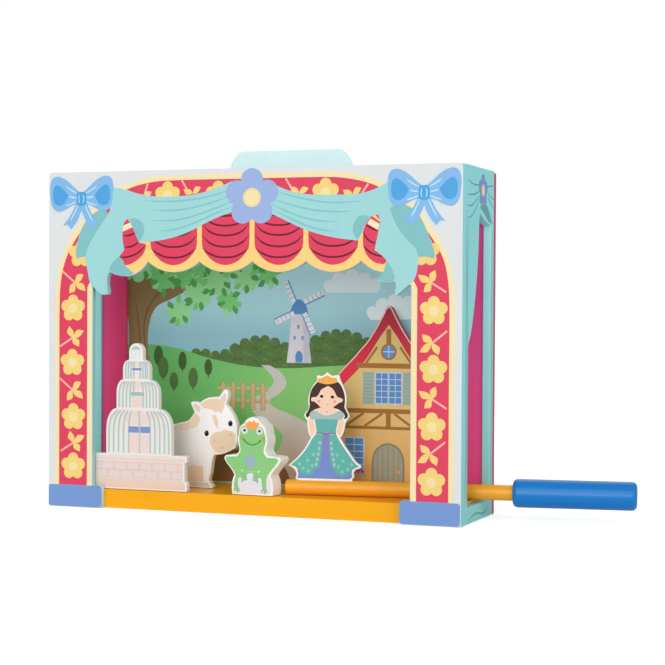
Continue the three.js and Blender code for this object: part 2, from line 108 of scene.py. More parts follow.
class Paint:
    def __init__(self, name):
        self.material = bpy.data.materials.new(name)
        self.material.use_nodes = True
        self.tree = self.material.node_tree
        self.shader = self.tree.nodes["Principled BSDF"]

    def add(self, kind, settings=None, sockets=None, output=0):
        node = self.tree.nodes.new("ShaderNode" + kind)
        for key, value in (settings or {}).items():
            if key == "stops":
                self.setStops(node.color_ramp, value)
            else:
                setattr(node, key, value)
        for key, value in (sockets or {}).items():
            self.join(value, node.inputs[key])
        return Wire(self, node.outputs[output])

    def setStops(self, ramp, stops):
        while len(ramp.elements) < len(stops):
            ramp.elements.new(1.0)
        for element, (position, colour) in zip(ramp.elements, stops):
            element.position = position
            element.color = colour

    def join(self, value, socket):
        if isinstance(value, Wire):
            self.tree.links.new(value.socket, socket)
        else:
            socket.default_value = value

    def place(self):
        return self.add("TexCoord", output=3)

    def axis(self, name, place):
        return self.add("SeparateXYZ", None, {0: place}, "XYZ".index(name))

    def turned(self, place, degrees):
        return self.add("Mapping", None, {"Vector": place, "Rotation": (0, 0, math.radians(-degrees))})

    def noise(self, scale, detail, place, stretch=(1, 1, 1)):
        spot = self.add("Mapping", None, {"Vector": place, "Scale": stretch})
        return self.add("TexNoise", None, {"Vector": spot, "Scale": scale, "Detail": detail})

    def blend(self, share, first, second):
        return self.add("Mix", {"data_type": "RGBA"}, {0: share, 6: first, 7: second}, 2)

    def ramp(self, share, stops):
        return self.add("ValToRGB", {"stops": stops}, {0: share})

    def finish(self, colour, roughness, height, depth=0.0001, **values):
        self.join(colour, self.shader.inputs["Base Color"])
        self.join(roughness, self.shader.inputs["Roughness"])
        bump = self.add("Bump", None, {"Strength": 0.5, "Distance": depth, "Height": height})
        self.join(bump, self.shader.inputs["Normal"])
        for name, value in {"Specular_IOR_Level": 0.3, **values}.items():
            self.shader.inputs[name.replace("_", " ")].default_value = value
        return self.material


# Inks of the printed boards: one tone, or tones at places along an axis
inks = {
    "board": "DEE2E3", "cream": "F6E2AE", "red": "DF3E5E", "line": "6C0E2A", "petal": "F3D27C",
    "petalEdge": "E3B866", "creamPatch": "F7E6C0", "heart": "F1DFA4", "stem": "F7B5A6", "trim": "F8D27E",
    "drape": "9ED6D8", "drapeShade": "80C0C4", "drapeLine": "84C4C8", "foot": "7599D2", "blue": "9BB2E0",
    "blueDark": "7F98D2", "disc": "F2E4A8", "bow": "83B9E8", "bowDark": "4BA3DE", "bowLight": "BCE6F6",
    "teal": ("Z", (10, "8FDEDC"), (250, "94E7EC")), "pale": "BFE6E6", "white": "F7F4EE",
    "basin": ("Z", (16, "EBC6A8"), (26, "E5D5CE"), (45, "E8DAD4")), "mortar": "E8C4B8", "brick": "E3D3D0",
    "water": ("Z", (44, "E5E6E0"), (76, "E9DDD8"), (84, "E5E6E0"), (102, "E7E0DB"), (122, "E7E8E4")),
    "fountainEdge": "EDE7E3", "waterRose": "EAD4CC", "stream": "B2C6C3", "streamPale": "D5DEDF",
    "bandBlue": "7C93C6", "bandGrey": "A3B9B2",
    # The pony's coat carries painted shade: grey on its left, where the fountain's shadow falls, to white on
    # its right
    "ponyCoat": ("X", (82, "D6D3D3"), (100, "E8E5E5"), (116, "F5F2F3"), (126, "FAF7F8"), (150, "FDFAFB")),
    "tan": "EFD5B8", "tanDark": "D6B294", "hoof": "D9D4CC", "earPink": "EFCFCA", "dark": "0F0B0A",
    "frogGround": "E6E1EA", "frogGreen": "8CCB7F", "frogLimb": "90C088", "frogPatch": "9AB5BE",
    "frogPale": "CDECC6", "frogCheek": "A7AE62", "frogDark": "4C8A3C", "crownOrange": "FBA357",
    "crownGold": "F5A84B", "hair": "3C1D0D", "skin": "F7CDB2", "cheek": "EE9C90", "collar": "A3BEB9",
    "bodice": "62ADA9", "dress": "5DB3AA", "dressDot": "A9C2C4", "dressLight": "7CCBB9", "belt": "8E7BA5",
    "underskirt": ("Z", (31, "6F8DD0"), (44, "7488CA"), (58, "8482C4")), "roofEdge": "F0CBBB",
    "roofRed": ("Z", (104, "EC334A"), (128, "D02840"), (158, "AC1B34")),
    "plaster": ("Z", (18, "E3A85C"), (50, "E6B56C"), (90, "EAC682"), (145, "D9BA72")), "timber": "A86E2C",
    "glass": "5A8FD0", "lattice": "CBD5E3", "shutter": "A3B4A8", "shutterLine": "8FA197",
    "doorWood": "A59F88", "doorFrame": "87866F",
    # The sky lightens towards the top, partly as the print's own gradient and partly as painted light where
    # the valance shades the panel
    "sky": ("Z", (120, "8DBAC6"), (141, "96C3CF"), (165, "B4E0EA"), (200, "CDF3FC"), (266, "D6F7FF")),
    "cloud": "F0F7FA", "wood": "54753A", "woodDark": "425F2D", "woodLight": "6A8C4B",
    "meadow": ("X", (28, "61AA5C"), (110, "72BE6C"), (200, "8BCC73"), (285, "90CE74")),
    "meadowNear": ("X", (28, "63AB5D"), (110, "78C66E"), (200, "94D078"), (285, "98CE74")),
    "path": ("Z", (16, "DCC0A4"), (50, "D2C4B9"), (114, "C9C6BE")),
    "bank": ("Z", (16, "9A6A3E"), (43, "80663A")), "fence": "CDB183", "fenceEdge": "AC8A52",
    "bark": "96734A", "barkDark": "735636", "leafGreen": "84D67E", "leafDark": "58AC54",
    "leafLight": "A4E69E", "mill": "DCD6DC", "millShade": "C6C3D0", "millBlue": "5A8FCB",
    "millWindow": "7C93C6", "millSail": "EDEBEE", "tabBlue": "DFFEFF",
    "jamb": ("Z", (15, "9CDCD8"), (120, "A6E6E6"), (240, "BEF2FA")), "curtainLine": "5F9FA6",
    "curtainShade": "63A6A6",
    # The rear frame's magenta carries painted light: it turns lighter towards the outer edge of each column,
    # where the frame lies in shade behind the walls and front board
    "frameMagenta": (
        "X", (6, "FF4A8C"), (16, "FF4482"), (27, "F03A74"), (322, "F03A74"), (333, "FF5296"),
        (344, "FF549A"),
    ),
}
inkLook = {"roughness": 0.34, "mottle": 0.05, "relief": 0.00004}
cornerShift = {"X": theatre["width"] / 2, "Z": 0}
madeInks = {}


def ink(name):
    if name not in madeInks:
        madeInks[name] = printedInk(name, inks[name])
    return madeInks[name]


def materialOf(tone):
    return ink(tone) if isinstance(tone, str) else tone


def printedInk(name, tone):
    paint = Paint(name + "Ink")
    place = paint.place()
    cloud = paint.noise(22, 3, place)
    fibre = paint.noise(420, 2, place, (1, 1, 0.07))
    speck = paint.noise(2400, 1, place)
    share = 0.55 * cloud + 0.3 * fibre + 0.15 * speck
    strengths = (1 - 2 * inkLook["mottle"], 1 + inkLook["mottle"])
    if isinstance(tone, str):
        dark, light = [colourOf(tone, strength) for strength in strengths]
    else:
        axis, *stops = tone
        first, reach = stops[0][0], stops[-1][0] - stops[0][0]
        along = (paint.axis(axis, place) * (1 / mm) + (cornerShift[axis] - first)) / reach
        dark, light = [
            paint.ramp(along, [((spot - first) / reach, colourOf(code, strength)) for spot, code in stops])
            for strength in strengths]
    look = paint.blend(share, dark, light)
    return paint.finish(look, inkLook["roughness"] + 0.16 * speck, fibre + 0.4 * speck, inkLook["relief"])


def glossPaint(name, code, roughness, coat, stretch, turn=0):
    paint = Paint(name)
    place = paint.turned(paint.place(), turn)
    cloud = paint.noise(16, 3, place)
    fibre = paint.noise(300, 3, place, stretch)
    speck = paint.noise(1800, 1, place)
    tone = paint.blend(0.5 * cloud + 0.5 * fibre, colourOf(code, 0.86), colourOf(code, 1.06))
    return paint.finish(tone, roughness + 0.12 * speck, fibre + 0.3 * speck, 0.00006, Coat_Weight=coat)


# Boards are copies of the CAD solids with eased edges and paint by face
def only(piece):
    bpy.ops.object.select_all(action="DESELECT")
    piece.select_set(True)
    bpy.context.view_layer.objects.active = piece


def smoothShaded(piece):
    only(piece)
    bpy.ops.object.shade_smooth_by_angle(angle=math.radians(34))
    bpy.ops.object.modifier_add(type="WEIGHTED_NORMAL")
    bpy.ops.object.modifier_apply(modifier=piece.modifiers[-1].name)


def easeEdges(piece, width):
    only(piece)
    bpy.ops.object.modifier_add(type="BEVEL")
    bevel = piece.modifiers[-1]
    bevel.width = width * mm
    bevel.segments = 3
    bevel.limit_method = "ANGLE"
    bevel.angle_limit = math.radians(33)
    bpy.ops.object.modifier_apply(modifier=bevel.name)


def cornerPoint(point):
    return (point.x / mm + theatre["width"] / 2, point.y / mm + theatre["depth"] / 2, point.z / mm)


def paintFaces(piece, rule):
    piece.data.materials.clear()
    slots = {}
    for face in piece.data.polygons:
        tone = rule(*cornerPoint(face.center), face.normal) if callable(rule) else rule
        if tone not in slots:
            slots[tone] = len(slots)
            piece.data.materials.append(materialOf(tone))
        face.material_index = slots[tone]


def boardFrom(node, name, rule, ease=0.6):
    only(frame["nodes"][node])
    bpy.ops.object.duplicate()
    piece = bpy.context.active_object
    bpy.ops.object.parent_clear(type="CLEAR_KEEP_TRANSFORM")
    body = piece["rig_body"]
    del piece["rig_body"], piece["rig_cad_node"]
    piece.name = piece.data.name = name
    bpy.ops.object.mode_set(mode="EDIT")
    bpy.ops.mesh.select_all(action="SELECT")
    bpy.ops.mesh.customdata_custom_splitnormals_clear()
    bpy.ops.mesh.remove_doubles(threshold=0.00001)
    bpy.ops.mesh.dissolve_limited(angle_limit=math.radians(0.5))
    bpy.ops.object.mode_set(mode="OBJECT")
    easeEdges(piece, ease)
    smoothShaded(piece)
    paintFaces(piece, rule)
    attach(piece, body)
    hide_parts(node)


# The six boards of the theatre. The front board is painted by zones: left, right, low and high.
frontZones = {
    "sides": (1, 349), "feet": (49, 301, 18.6), "rim": 0.7, "trim": (84, 276, 185, 205),
    "drape": (40, 310, -1, 215),
}


def frontRule(x, y, z, normal):
    if normal.y < -0.95:
        return "board"
    left, right = frontZones["sides"]
    if abs(normal.x) > 0.95 and (x < left or x > right):
        return "teal"
    left, right, high = frontZones["feet"]
    if z < high and (x < left or x > right):
        return "foot" if y < frontZones["rim"] else "pale"
    if y >= frontZones["rim"]:
        return "drape"
    for tone in ("trim", "drape"):
        left, right, low, high = frontZones[tone]
        if left < x < right and low < z < high:
            return tone
    return "board"


def wallRule(x, y, z, normal):
    return "jamb" if normal.y < -0.7 and y > 70 else "teal"


magenta = glossPaint("magentaPaint", "C53B66", 0.37, 0.05, (1, 1, 0.06))
stageYellow = glossPaint("stagePaint", "F9AE00", 0.23, 0.03, (0.05, 1, 1))
boardFrom("front_board", "front_board_painted", frontRule)
boardFrom("left_wall", "left_wall_painted", wallRule)
boardFrom("right_wall", "right_wall_painted", wallRule)
# The rear frame's ink has painted light at its side columns
boardFrom("rear_frame", "rear_frame_painted", "frameMagenta", 0.4)
boardFrom("back_board", "back_board_painted", magenta)
boardFrom("stage_floor", "stage_floor_painted", stageYellow)
print("boards painted")


# Flat outlines for the prints. A third number on a point makes a sharp corner there.
def curved(points, closed=True, cuts=5, gap=0):
    spots = [Vector(point[:2]) for point in points]
    sharp = [len(point) > 2 for point in points]
    count = len(spots)
    line = []
    for i in range(count if closed else count - 1):
        start, end = spots[i], spots[(i + 1) % count]
        chord = end - start
        reach = chord.length
        startSharp = sharp[i] or (not closed and i == 0)
        endSharp = sharp[(i + 1) % count] or (not closed and i == count - 2)
        leave = chord if startSharp else (end - spots[i - 1]).normalized() * reach
        arrive = chord if endSharp else (spots[(i + 2) % count] - start).normalized() * reach
        steps = max(1, round(reach / gap)) if gap else 1 if startSharp and endSharp else cuts
        for step in range(steps):
            t = step / steps
            line.append(start * (2 * t ** 3 - 3 * t ** 2 + 1) + leave * (t ** 3 - 2 * t ** 2 + t)
                        + end * (3 * t ** 2 - 2 * t ** 3) + arrive * (t ** 3 - t ** 2))
    if not closed:
        line.append(spots[-1])
    return line


def disc(u, v, radius, flat=1.0, count=32):
    angles = [2 * math.pi * i / count for i in range(count)]
    return [Vector((u + radius * math.cos(a), v + radius * flat * math.sin(a))) for a in angles]


def blossom(u, v, spread, petal, petals=5, cuts=12):
    line = []
    for i in range(petals):
        for step in range(cuts):
            swing = (step / cuts - 0.5) * 2 * math.pi / petals
            away = spread * math.cos(swing) + math.sqrt(petal ** 2 - (spread * math.sin(swing)) ** 2)
            angle = math.radians(90 + 360 * i / petals) + swing
            line.append(Vector((u + away * math.cos(angle), v + away * math.sin(angle))))
    return line


def leaf(u, v, du, dv, width):
    base, along = Vector((u, v)), Vector((du, dv))
    side = Vector((-dv, du)).normalized() * width
    left = [base + along * a + side * b for a, b in ((0.3, 0.42), (0.6, 0.62))]
    right = [base + along * a - side * b for a, b in ((0.62, 0.36), (0.3, 0.4))]
    return curved([(*base, 0), *left, (*(base + along), 0), *right])


def stroke(points, width, taper=True):
    line = curved(points, False, 6)
    left, right = [], []
    for i, spot in enumerate(line):
        ahead = line[min(i + 1, len(line) - 1)] - line[max(i - 1, 0)]
        share = i / (len(line) - 1)
        half = width / 2 * (min(1.0, 0.15 + 4 * min(share, 1 - share)) if taper else 1.0)
        side = Vector((-ahead.y, ahead.x)).normalized() * half
        left.append(spot + side)
        right.append(spot - side)
    return left + right[::-1]


def panel(u0, v0, u1, v1, corner=0.0):
    if not corner:
        return [Vector(p) for p in ((u0, v0), (u1, v0), (u1, v1), (u0, v1))]
    line = []
    for u, v, start in ((u1 - corner, v0 + corner, -90), (u1 - corner, v1 - corner, 0),
                        (u0 + corner, v1 - corner, 90), (u0 + corner, v0 + corner, 180)):
        for step in range(5):
            a = math.radians(start + 22.5 * step)
            line.append(Vector((u + corner * math.cos(a), v + corner * math.sin(a))))
    return line


def scalloped(points, bulge, cuts=8):
    line = []
    for start, end in zip(points, points[1:]):
        across = Vector(end) - Vector(start)
        out = Vector((-across.y, across.x)) * bulge
        for step in range(cuts):
            swing = math.pi * step / cuts
            line.append(Vector(start) + across * (0.5 - 0.5 * math.cos(swing)) + out * math.sin(swing))
    return line + [Vector(points[-1])]


def shifted(line, du, dv, mirror=1):
    return [Vector((du + mirror * p[0], dv + p[1])) for p in line]


def mirrored(half, middle=0):
    back = [(2 * middle - p[0], *p[1:]) for p in half[::-1]]
    return half + (back[1:] if half[-1][0] == middle else back)


# A print is laid in levels, each a thin sheet of ink that reaches a little into its board
printing = {"step": 0.05, "sink": 0.03}


class PrintedFace:
    def __init__(self, x, y, turn=0.0, foot=0.0):
        c, s = math.cos(math.radians(turn)), math.sin(math.radians(turn))
        x, y = (x - theatre["width"] / 2) * mm, (y - theatre["depth"] / 2) * mm
        self.place = Matrix(((c, 0, s, x), (s, 0, -c, y), (0, 1, 0, foot * mm), (0, 0, 0, 1)))
        self.shapes = []

    def slab(self, colour, low, top, *outlines, ease=0):
        bpy.ops.curve.primitive_bezier_circle_add(radius=1, location=(0, 0, 0))
        shape = bpy.context.active_object
        shape.data.splines.clear()
        shape.data.dimensions = "2D"
        shape.data.fill_mode = "BOTH"
        shape.data.extrude = ((top - low) / 2 - ease) * mm
        shape.data.bevel_depth = ease * mm
        shape.data.bevel_resolution = 2
        shape.data.offset = -ease * mm
        for outline in outlines:
            spline = shape.data.splines.new("POLY")
            spline.points.add(len(outline) - 1)
            for point, spot in zip(spline.points, outline):
                point.co = (spot[0] * mm, spot[1] * mm, 0, 1)
            spline.use_cyclic_u = True
        bpy.ops.object.convert(target="MESH")
        shape = bpy.context.active_object
        shape.data.materials.clear()
        shape.data.materials.append(materialOf(colour))
        shape.matrix_world = self.place @ Matrix.Translation((0, 0, (top + low) / 2 * mm))
        bpy.ops.object.transform_apply(location=True, rotation=True, scale=True)
        bpy.ops.object.mode_set(mode="EDIT")
        bpy.ops.mesh.select_all(action="SELECT")
        bpy.ops.mesh.remove_doubles(threshold=0.0000005)
        bpy.ops.mesh.normals_make_consistent(inside=False)
        bpy.ops.object.mode_set(mode="OBJECT")
        self.shapes.append(shape)
        return shape

    def lay(self, colour, level, *outlines):
        self.slab(colour, -printing["sink"], printing["step"] * level, *outlines)

    def patches(self, colour, level, outlines):
        for outline in outlines:
            self.lay(colour, level, curved(outline))

    def lines(self, colour, level, paths, width, taper=True):
        for path in paths:
            self.lay(colour, level, stroke(path, width, taper))

    def panels(self, colour, level, boxes, corner=0.0):
        for box in boxes:
            self.lay(colour, level, panel(*box, corner))

    def dots(self, colour, level, spots, radius, flat=1.0, count=32):
        for u, v in spots:
            self.lay(colour, level, disc(u, v, radius, flat, count))

    def finish(self, name, body, slot):
        bpy.ops.object.select_all(action="DESELECT")
        for shape in self.shapes:
            shape.select_set(True)
        bpy.context.view_layer.objects.active = self.shapes[0]
        bpy.ops.object.join()
        piece = bpy.context.active_object
        piece.name = piece.data.name = name
        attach(piece, body)


# Front board: border of flowers and leaves
risingSprig = {"stem": (-11.5, -7), "leaves": ((-3, 9.5), (10.5, 6), (6, -7))}
fallingSprig = {"stem": (-11.5, 9), "leaves": ((8, 6.5), (-5, -9), (10, -7))}
border = {
    "feet": [(0.5, 0.5, 48.2, 17.7), (301.8, 0.5, 349.5, 17.7)],
    "cream": [
        (6.2, 17.8, 0), (6.2, 120), (6.2, 165), (7.4, 184), (11, 200), (18, 215), (28, 228.5), (41, 242),
        (56, 253.5), (72, 261), (88, 265), (105, 266.6), (175, 266.8), (245, 266.6), (262, 265), (279, 261),
        (295, 253.5), (310, 242), (322, 228.5), (332, 215), (339, 200), (342.8, 184), (344.2, 165),
        (344.2, 120), (344.2, 17.8, 0), (310.7, 17.8, 0), (310.7, 178, 0), (300, 206, 0), (50, 206, 0),
        (39.3, 178, 0), (39.3, 17.8, 0),
    ],
    "red": [
        (10, 17.8, 0), (10, 120), (10, 163), (11.2, 183), (15, 199), (21.5, 212), (31, 225), (43.5, 238),
        (58, 249.5), (73, 257), (89, 261), (105, 262.6), (175, 262.8), (245, 262.6), (261, 261),
        (277.5, 257), (293, 249.5), (307.5, 238), (319, 225), (328.5, 212), (335.5, 199), (339, 183),
        (340.2, 163), (340.2, 120), (340.2, 17.8, 0), (315, 17.8, 0), (315, 178, 0), (300, 206, 0),
        (50, 206, 0), (35.5, 178, 0), (35.5, 17.8, 0),
    ],
    "flowers": [
        (22.5, 161), (22, 117), (23, 73), (23, 33), (328, 161), (328, 117), (327, 74), (327, 32.5),
        (107, 251), (151, 250.6), (241, 251), (29.5, 205), (321.5, 205),
    ],
    "sprigs": [
        (24, 182, fallingSprig, 1), (22, 137, risingSprig, 1), (22, 95, fallingSprig, 1),
        (23, 52, risingSprig, 1), (326, 182, risingSprig, -1), (327, 137, fallingSprig, -1),
        (327, 95, risingSprig, -1), (326, 54, fallingSprig, -1),
    ],
    "topLeaves": [(129, 252, 1), (219, 251, -1), (263, 249, 1), (86, 249, 1)],
    "topTips": ((-8, 3.4), (7, 5)), "leafWidths": (5.4, 4.6), "stemWidth": 1.5, "spread": 6.4, "petal": 4.7,
    "heart": 3.9,
    "topStems": [
        [(89.5, 260.6), (86, 250)], [(119.5, 262.4), (126, 252)], [(208, 262.4), (214.5, 252)],
        [(275.5, 257), (270, 249)],
    ],
}


def leafPair(face, u, v, mirror, tips, width):
    for i, (du, dv) in enumerate(tips):
        face.lay("petal", 3.2 + 0.15 * i, leaf(u, v, mirror * du, dv, width))


def printBorder():
    face = PrintedFace(0, 0)
    face.panels("foot", 1, border["feet"], 2.2)
    face.lay("cream", 1, curved(border["cream"]))
    face.lay("red", 2, curved(border["red"]))
    for u, v in border["flowers"]:
        face.lay("petal", 3.2, blossom(u, v, border["spread"], border["petal"]))
        face.lay("heart", 3.7, disc(u, v, border["heart"]))
    for u, v, kind, mirror in border["sprigs"]:
        du, dv = kind["stem"]
        face.lay("stem", 3, stroke([(u, v), (u + mirror * du, v + dv)], border["stemWidth"], False))
        leafPair(face, u, v, mirror, kind["leaves"], border["leafWidths"][0])
    for u, v, mirror in border["topLeaves"]:
        leafPair(face, u, v, mirror, border["topTips"], border["leafWidths"][1])
    face.lines("stem", 3, border["topStems"], border["stemWidth"], False)
    face.finish("front_border_print", "theatre", "front_paint")


# Front board: scalloped valance with a pleat at each side
valance = {
    "first": 90, "pitch": 45, "count": 4, "low": 190, "drop": 8.3, "edge": 0.55, "divider": 2.2,
    "trim": 5.6, "top": 242, "scallop": [(0, 17), (1.2, 12.5), (5.2, 7), (11.5, 2.2)],
    "folds": (201.6, 210, 218.8, 226.4, 234), "foldEnds": (7.6, 9, 9, 9, 9), "foldWidth": 1.45,
    "trimLeft": [
        (64, 204.5, 0), (70, 194.8, 0), (77.6, 189.2, 0), (82.2, 191.6, 0), (86, 194.8, 0),
        (89.2, 198.2, 0),
    ],
    "trimRight": [
        (270.8, 198.2, 0), (276, 194.4, 0), (281, 191.8, 0), (287.6, 190.3, 0), (291, 199, 0),
        (280, 207, 0), (285.5, 229, 0), (274, 240, 0), (84, 240, 0), (72, 234, 0), (66, 228, 0),
        (69.5, 208, 0),
    ],
    "pleats": [
        [(71.4, 233.4, 0), (75.4, 227), (79.6, 219), (82, 213.6, 0), (87.8, 212.6, 0), (88, 210), (86, 205),
         (80.5, 199.8), (74, 196.5), (68.5, 195.4, 0), (64, 202.4, 0), (69, 208, 0), (67.6, 217),
         (67, 227, 0)],
        [(278.3, 232.8, 0), (285.4, 227.6, 0), (283.8, 221), (282.2, 213), (280.6, 206.6, 0), (286, 203.4),
         (291, 199, 0), (288.6, 195.8, 0), (281, 197.4), (275, 202.5), (271.8, 210), (271.6, 221, 0),
         (274.5, 228)],
    ],
    "pleatFolds": [
        [(63.8, 202), (72, 202.4), (81, 205.6), (87.6, 211.4)], [(69, 210), (75.5, 210.8), (82.4, 214.4)],
        [(68, 219), (74, 219.8), (79.4, 221.8)], [(271.8, 220.6), (274.2, 216), (278, 213), (282.4, 211.6)],
        [(272, 210.4), (276.4, 205.6), (283, 202.6), (289.6, 202)],
        [(273.6, 226), (278, 223.4), (283.8, 221)],
    ],
    "pleatPatches": [
        [(67.1, 222.4, 0), (76, 226, 0), (74, 229.8, 0), (67.2, 227.2, 0)],
        [(274.8, 226.8, 0), (277.6, 230.4, 0), (284.9, 226.4, 0), (283.6, 221.8, 0)],
    ],
}


def scallopLine(edge):
    half, drop = valance["pitch"] / 2, valance["drop"]
    radius = (half ** 2 + drop ** 2) / 2 / drop
    swing = math.asin(half / radius)
    line = []
    for i in range(valance["count"]):
        middle = valance["first"] + valance["pitch"] * (i + 0.5)
        for step in range(13):
            a = -math.pi / 2 + swing * (step / 6 - 1)
            line.append((middle + (radius - edge) * math.cos(a),
                         valance["low"] + radius + (radius - edge) * math.sin(a), 0))
    return line


def printValance():
    face = PrintedFace(0, 0)
    edge = scallopLine(valance["edge"])
    face.lay("trim", 3, curved(valance["trimLeft"] + edge + valance["trimRight"]))
    width = valance["pitch"] - 2 * valance["divider"]
    for i in range(valance["count"]):
        left = valance["first"] + valance["pitch"] * i + valance["divider"]
        middle, low = left + width / 2, valance["low"] + valance["trim"]
        side = [(left + du, low + dv) for du, dv in valance["scallop"]]
        face.lay("red", 4, curved(mirrored([(left, valance["top"], 0), *side, (middle, low)], middle)))
        for low, ends in zip(valance["folds"], valance["foldEnds"]):
            fold = [(left + 0.2, low + ends), (left + 6, low + 3.4), (middle - 6, low + 0.4)]
            face.lay("line", 4.6, stroke(mirrored(fold, middle), valance["foldWidth"]))
    face.patches("red", 4, valance["pleats"])
    face.lines("line", 4.6, valance["pleatFolds"], 1.4)
    face.patches("creamPatch", 5, valance["pleatPatches"])
    face.finish("front_valance_print", "theatre", "front_paint")


# Front board: swags of cloth with hanging tails, and a flower where they meet
drapery = {
    "swags": [
        [(54, 259, 0), (57, 258.4), (70, 256), (82, 252.5), (98, 250), (115, 250), (132, 251.5), (150, 256),
         (163, 261, 0), (165, 237.5, 0), (153, 233.8), (140, 228.5), (125, 221.5), (112, 217.5), (98, 215),
         (82, 213.8, 0), (79, 220), (75, 228), (71.5, 233.6, 0), (66, 238), (56, 238, 0)],
        [(190, 261, 0), (200, 257), (215, 251.5), (230, 249.5), (250, 249), (268, 249.5), (280, 252.5),
         (293, 258.5, 0), (296, 240, 0), (286, 234), (278.6, 232.8, 0), (273.5, 226.5), (270.8, 220),
         (267.5, 214, 0), (258, 215), (245, 217), (228, 221.5), (212, 228), (199, 234), (193, 235.5, 0)],
    ],
    "folds": [
        [(86, 247.4), (100, 246.2), (118, 246.4), (135, 248), (150, 251), (163, 255)],
        [(90, 240), (105, 238.8), (120, 239.5), (135, 242), (148, 245.4), (163, 250)],
        [(93, 231.5), (108, 230.8), (122, 232.4), (136, 236), (150, 240.6), (164, 245.6)],
        [(98, 222.6), (110, 223.4), (124, 226.6), (138, 231.8), (150, 236.6), (164, 241.6)],
        [(197, 253.6), (212, 249), (225, 246), (240, 243.6), (255, 243), (270, 244)],
        [(196, 247.2), (210, 242.6), (224, 239), (238, 236.8), (252, 236), (264, 236.6)],
        [(197, 242.2), (210, 236.6), (222, 232.2), (236, 229.3), (252, 228.4)],
        [(199, 238), (212, 231.4), (224, 226.4), (238, 222.4), (252, 221)],
    ],
    "shades": [
        [(73, 232.4, 0), (79, 233), (84.5, 230), (86.8, 224), (84.8, 218), (81.8, 214.4, 0), (78.8, 220.6),
         (75.8, 227)],
        [(67.4, 229.5, 0), (63.5, 227.5), (61.2, 221), (62.6, 214.8), (68.6, 210, 0), (67.4, 217)],
        [(277, 232, 0), (270, 233), (265.2, 229), (263.2, 222), (265.4, 216.8), (267.4, 214.6, 0),
         (270.6, 220.4), (273.6, 226.8)],
        [(285.2, 227.4, 0), (288.6, 222.5), (288.8, 216.6), (285.8, 211.6), (281.4, 208.6, 0), (282.8, 215)],
    ],
    "tails": [
        [(57, 241, 0), (50, 231), (43, 221.5), (36.5, 211), (34.2, 205), (34.8, 197), (36.2, 189),
         (38.2, 181.5), (42, 177.6), (46.3, 174.4), (49.2, 172.9), (53, 173, 0), (53.4, 175.4), (52.4, 180),
         (52.8, 186), (54.8, 191), (58.5, 198), (64, 202.6), (68.8, 208, 0), (67, 217), (67.8, 228),
         (72, 233.2, 0), (66, 240, 0)],
        [(292, 241, 0), (295.5, 231), (301, 221), (308, 213), (314, 207), (315.3, 200), (314.6, 190),
         (312, 183.6), (309, 181.2), (306, 179), (302, 176), (299, 173.2), (297.9, 173.9, 0), (297.7, 176),
         (298.4, 180), (297.8, 184.5), (295.6, 191), (292.4, 196.5), (289.6, 200, 0), (285.5, 203.6),
         (281, 206.6, 0), (282.5, 214), (284, 221), (285.6, 228, 0), (283, 236, 0)],
    ],
    "backs": [
        [(52, 241, 0), (43, 238.6), (35, 232.4), (29.6, 224), (26.6, 215), (25, 205.5), (25.8, 201.3, 0),
         (34, 203, 0), (38, 212), (47, 221), (55, 232)],
        [(54.9, 191.6, 0), (58.5, 198), (64, 203, 0), (67.5, 199.5), (70, 195, 0), (74, 191.8),
         (77.8, 189.4, 0), (72, 187.5), (66, 187.7), (60, 189)],
        [(292, 241, 0), (305, 240.4), (313.6, 235.4), (318.6, 228.4), (322.4, 220.6), (325.8, 212.4),
         (328.4, 203.8), (328, 200.2, 0), (321, 201.6), (315, 201, 0), (311, 209), (302, 217), (294, 229)],
        [(291, 198.3, 0), (288.2, 190.4, 0), (285.2, 186.8), (282, 184.4, 0), (285.4, 183.5), (290, 182.7),
         (296.8, 183.3, 0), (297, 187), (294.8, 193.5)],
    ],
    "flower": {"place": (179.8, 248), "spread": 13.3, "petal": 9.5, "heart": 7.4, "ring": 6.4, "dots": 24},
}


def printDrapery():
    face = PrintedFace(0, 0)
    face.patches("drapeShade", 6, drapery["backs"])
    face.patches("drape", 7, drapery["swags"])
    face.lines("drapeLine", 7.5, drapery["folds"], 1.4)
    face.patches("drapeShade", 7.3, drapery["shades"])
    face.patches("drape", 8, drapery["tails"])
    flower = drapery["flower"]
    u, v = flower["place"]
    face.lay("blue", 9, blossom(u, v, flower["spread"], flower["petal"]))
    face.lay("disc", 9.6, disc(u, v, flower["heart"], count=40))
    face.dots("petalEdge", 10, disc(u, v, flower["ring"], count=flower["dots"]), 0.42, count=8)
    face.finish("front_drapery_print", "theatre", "front_paint")


# Front board: a ribbon bow in each upper corner, drawn as its left half
bow = {
    "loop": [
        (0.5, 4, 0), (-6, 9), (-13, 15), (-21, 18.6), (-26.5, 17), (-28.6, 11), (-28.4, 3), (-27, -5),
        (-22.4, -9.4), (-16, -8.6), (-8, -4.6), (0.5, -3, 0),
    ],
    "hollow": [
        (-12, 3.4, 0), (-17, 8.6), (-22.5, 11.6), (-25.4, 8.6), (-26, 2), (-24, -3.6), (-19.6, -5),
        (-15, -2.4),
    ],
    "tail": [
        (-1, 1, 0), (-6, -6), (-10, -13), (-16.5, -21, 0), (-13, -20.4), (-9.6, -24, 0), (-4, -17), (0, -8),
        (1.6, 0, 0),
    ],
    "folds": [
        [(-4, 4.6), (-9, 7.4), (-14, 10.6)], [(-4, 1.4), (-8, 1.6), (-11.5, 2.6)],
        [(-4, -1.6), (-9, -3.6), (-14, -5)],
    ],
    "tailFold": [(-3, -4), (-6.4, -11), (-10.4, -18)], "knot": (-4.4, -5.2, 4.4, 6, 3),
    "knotFolds": [[(-1.6, -3.4), (-2.4, 0.6), (-1.6, 4)], [(1.4, -3.4), (2.2, 0.6), (1.4, 4)]],
}


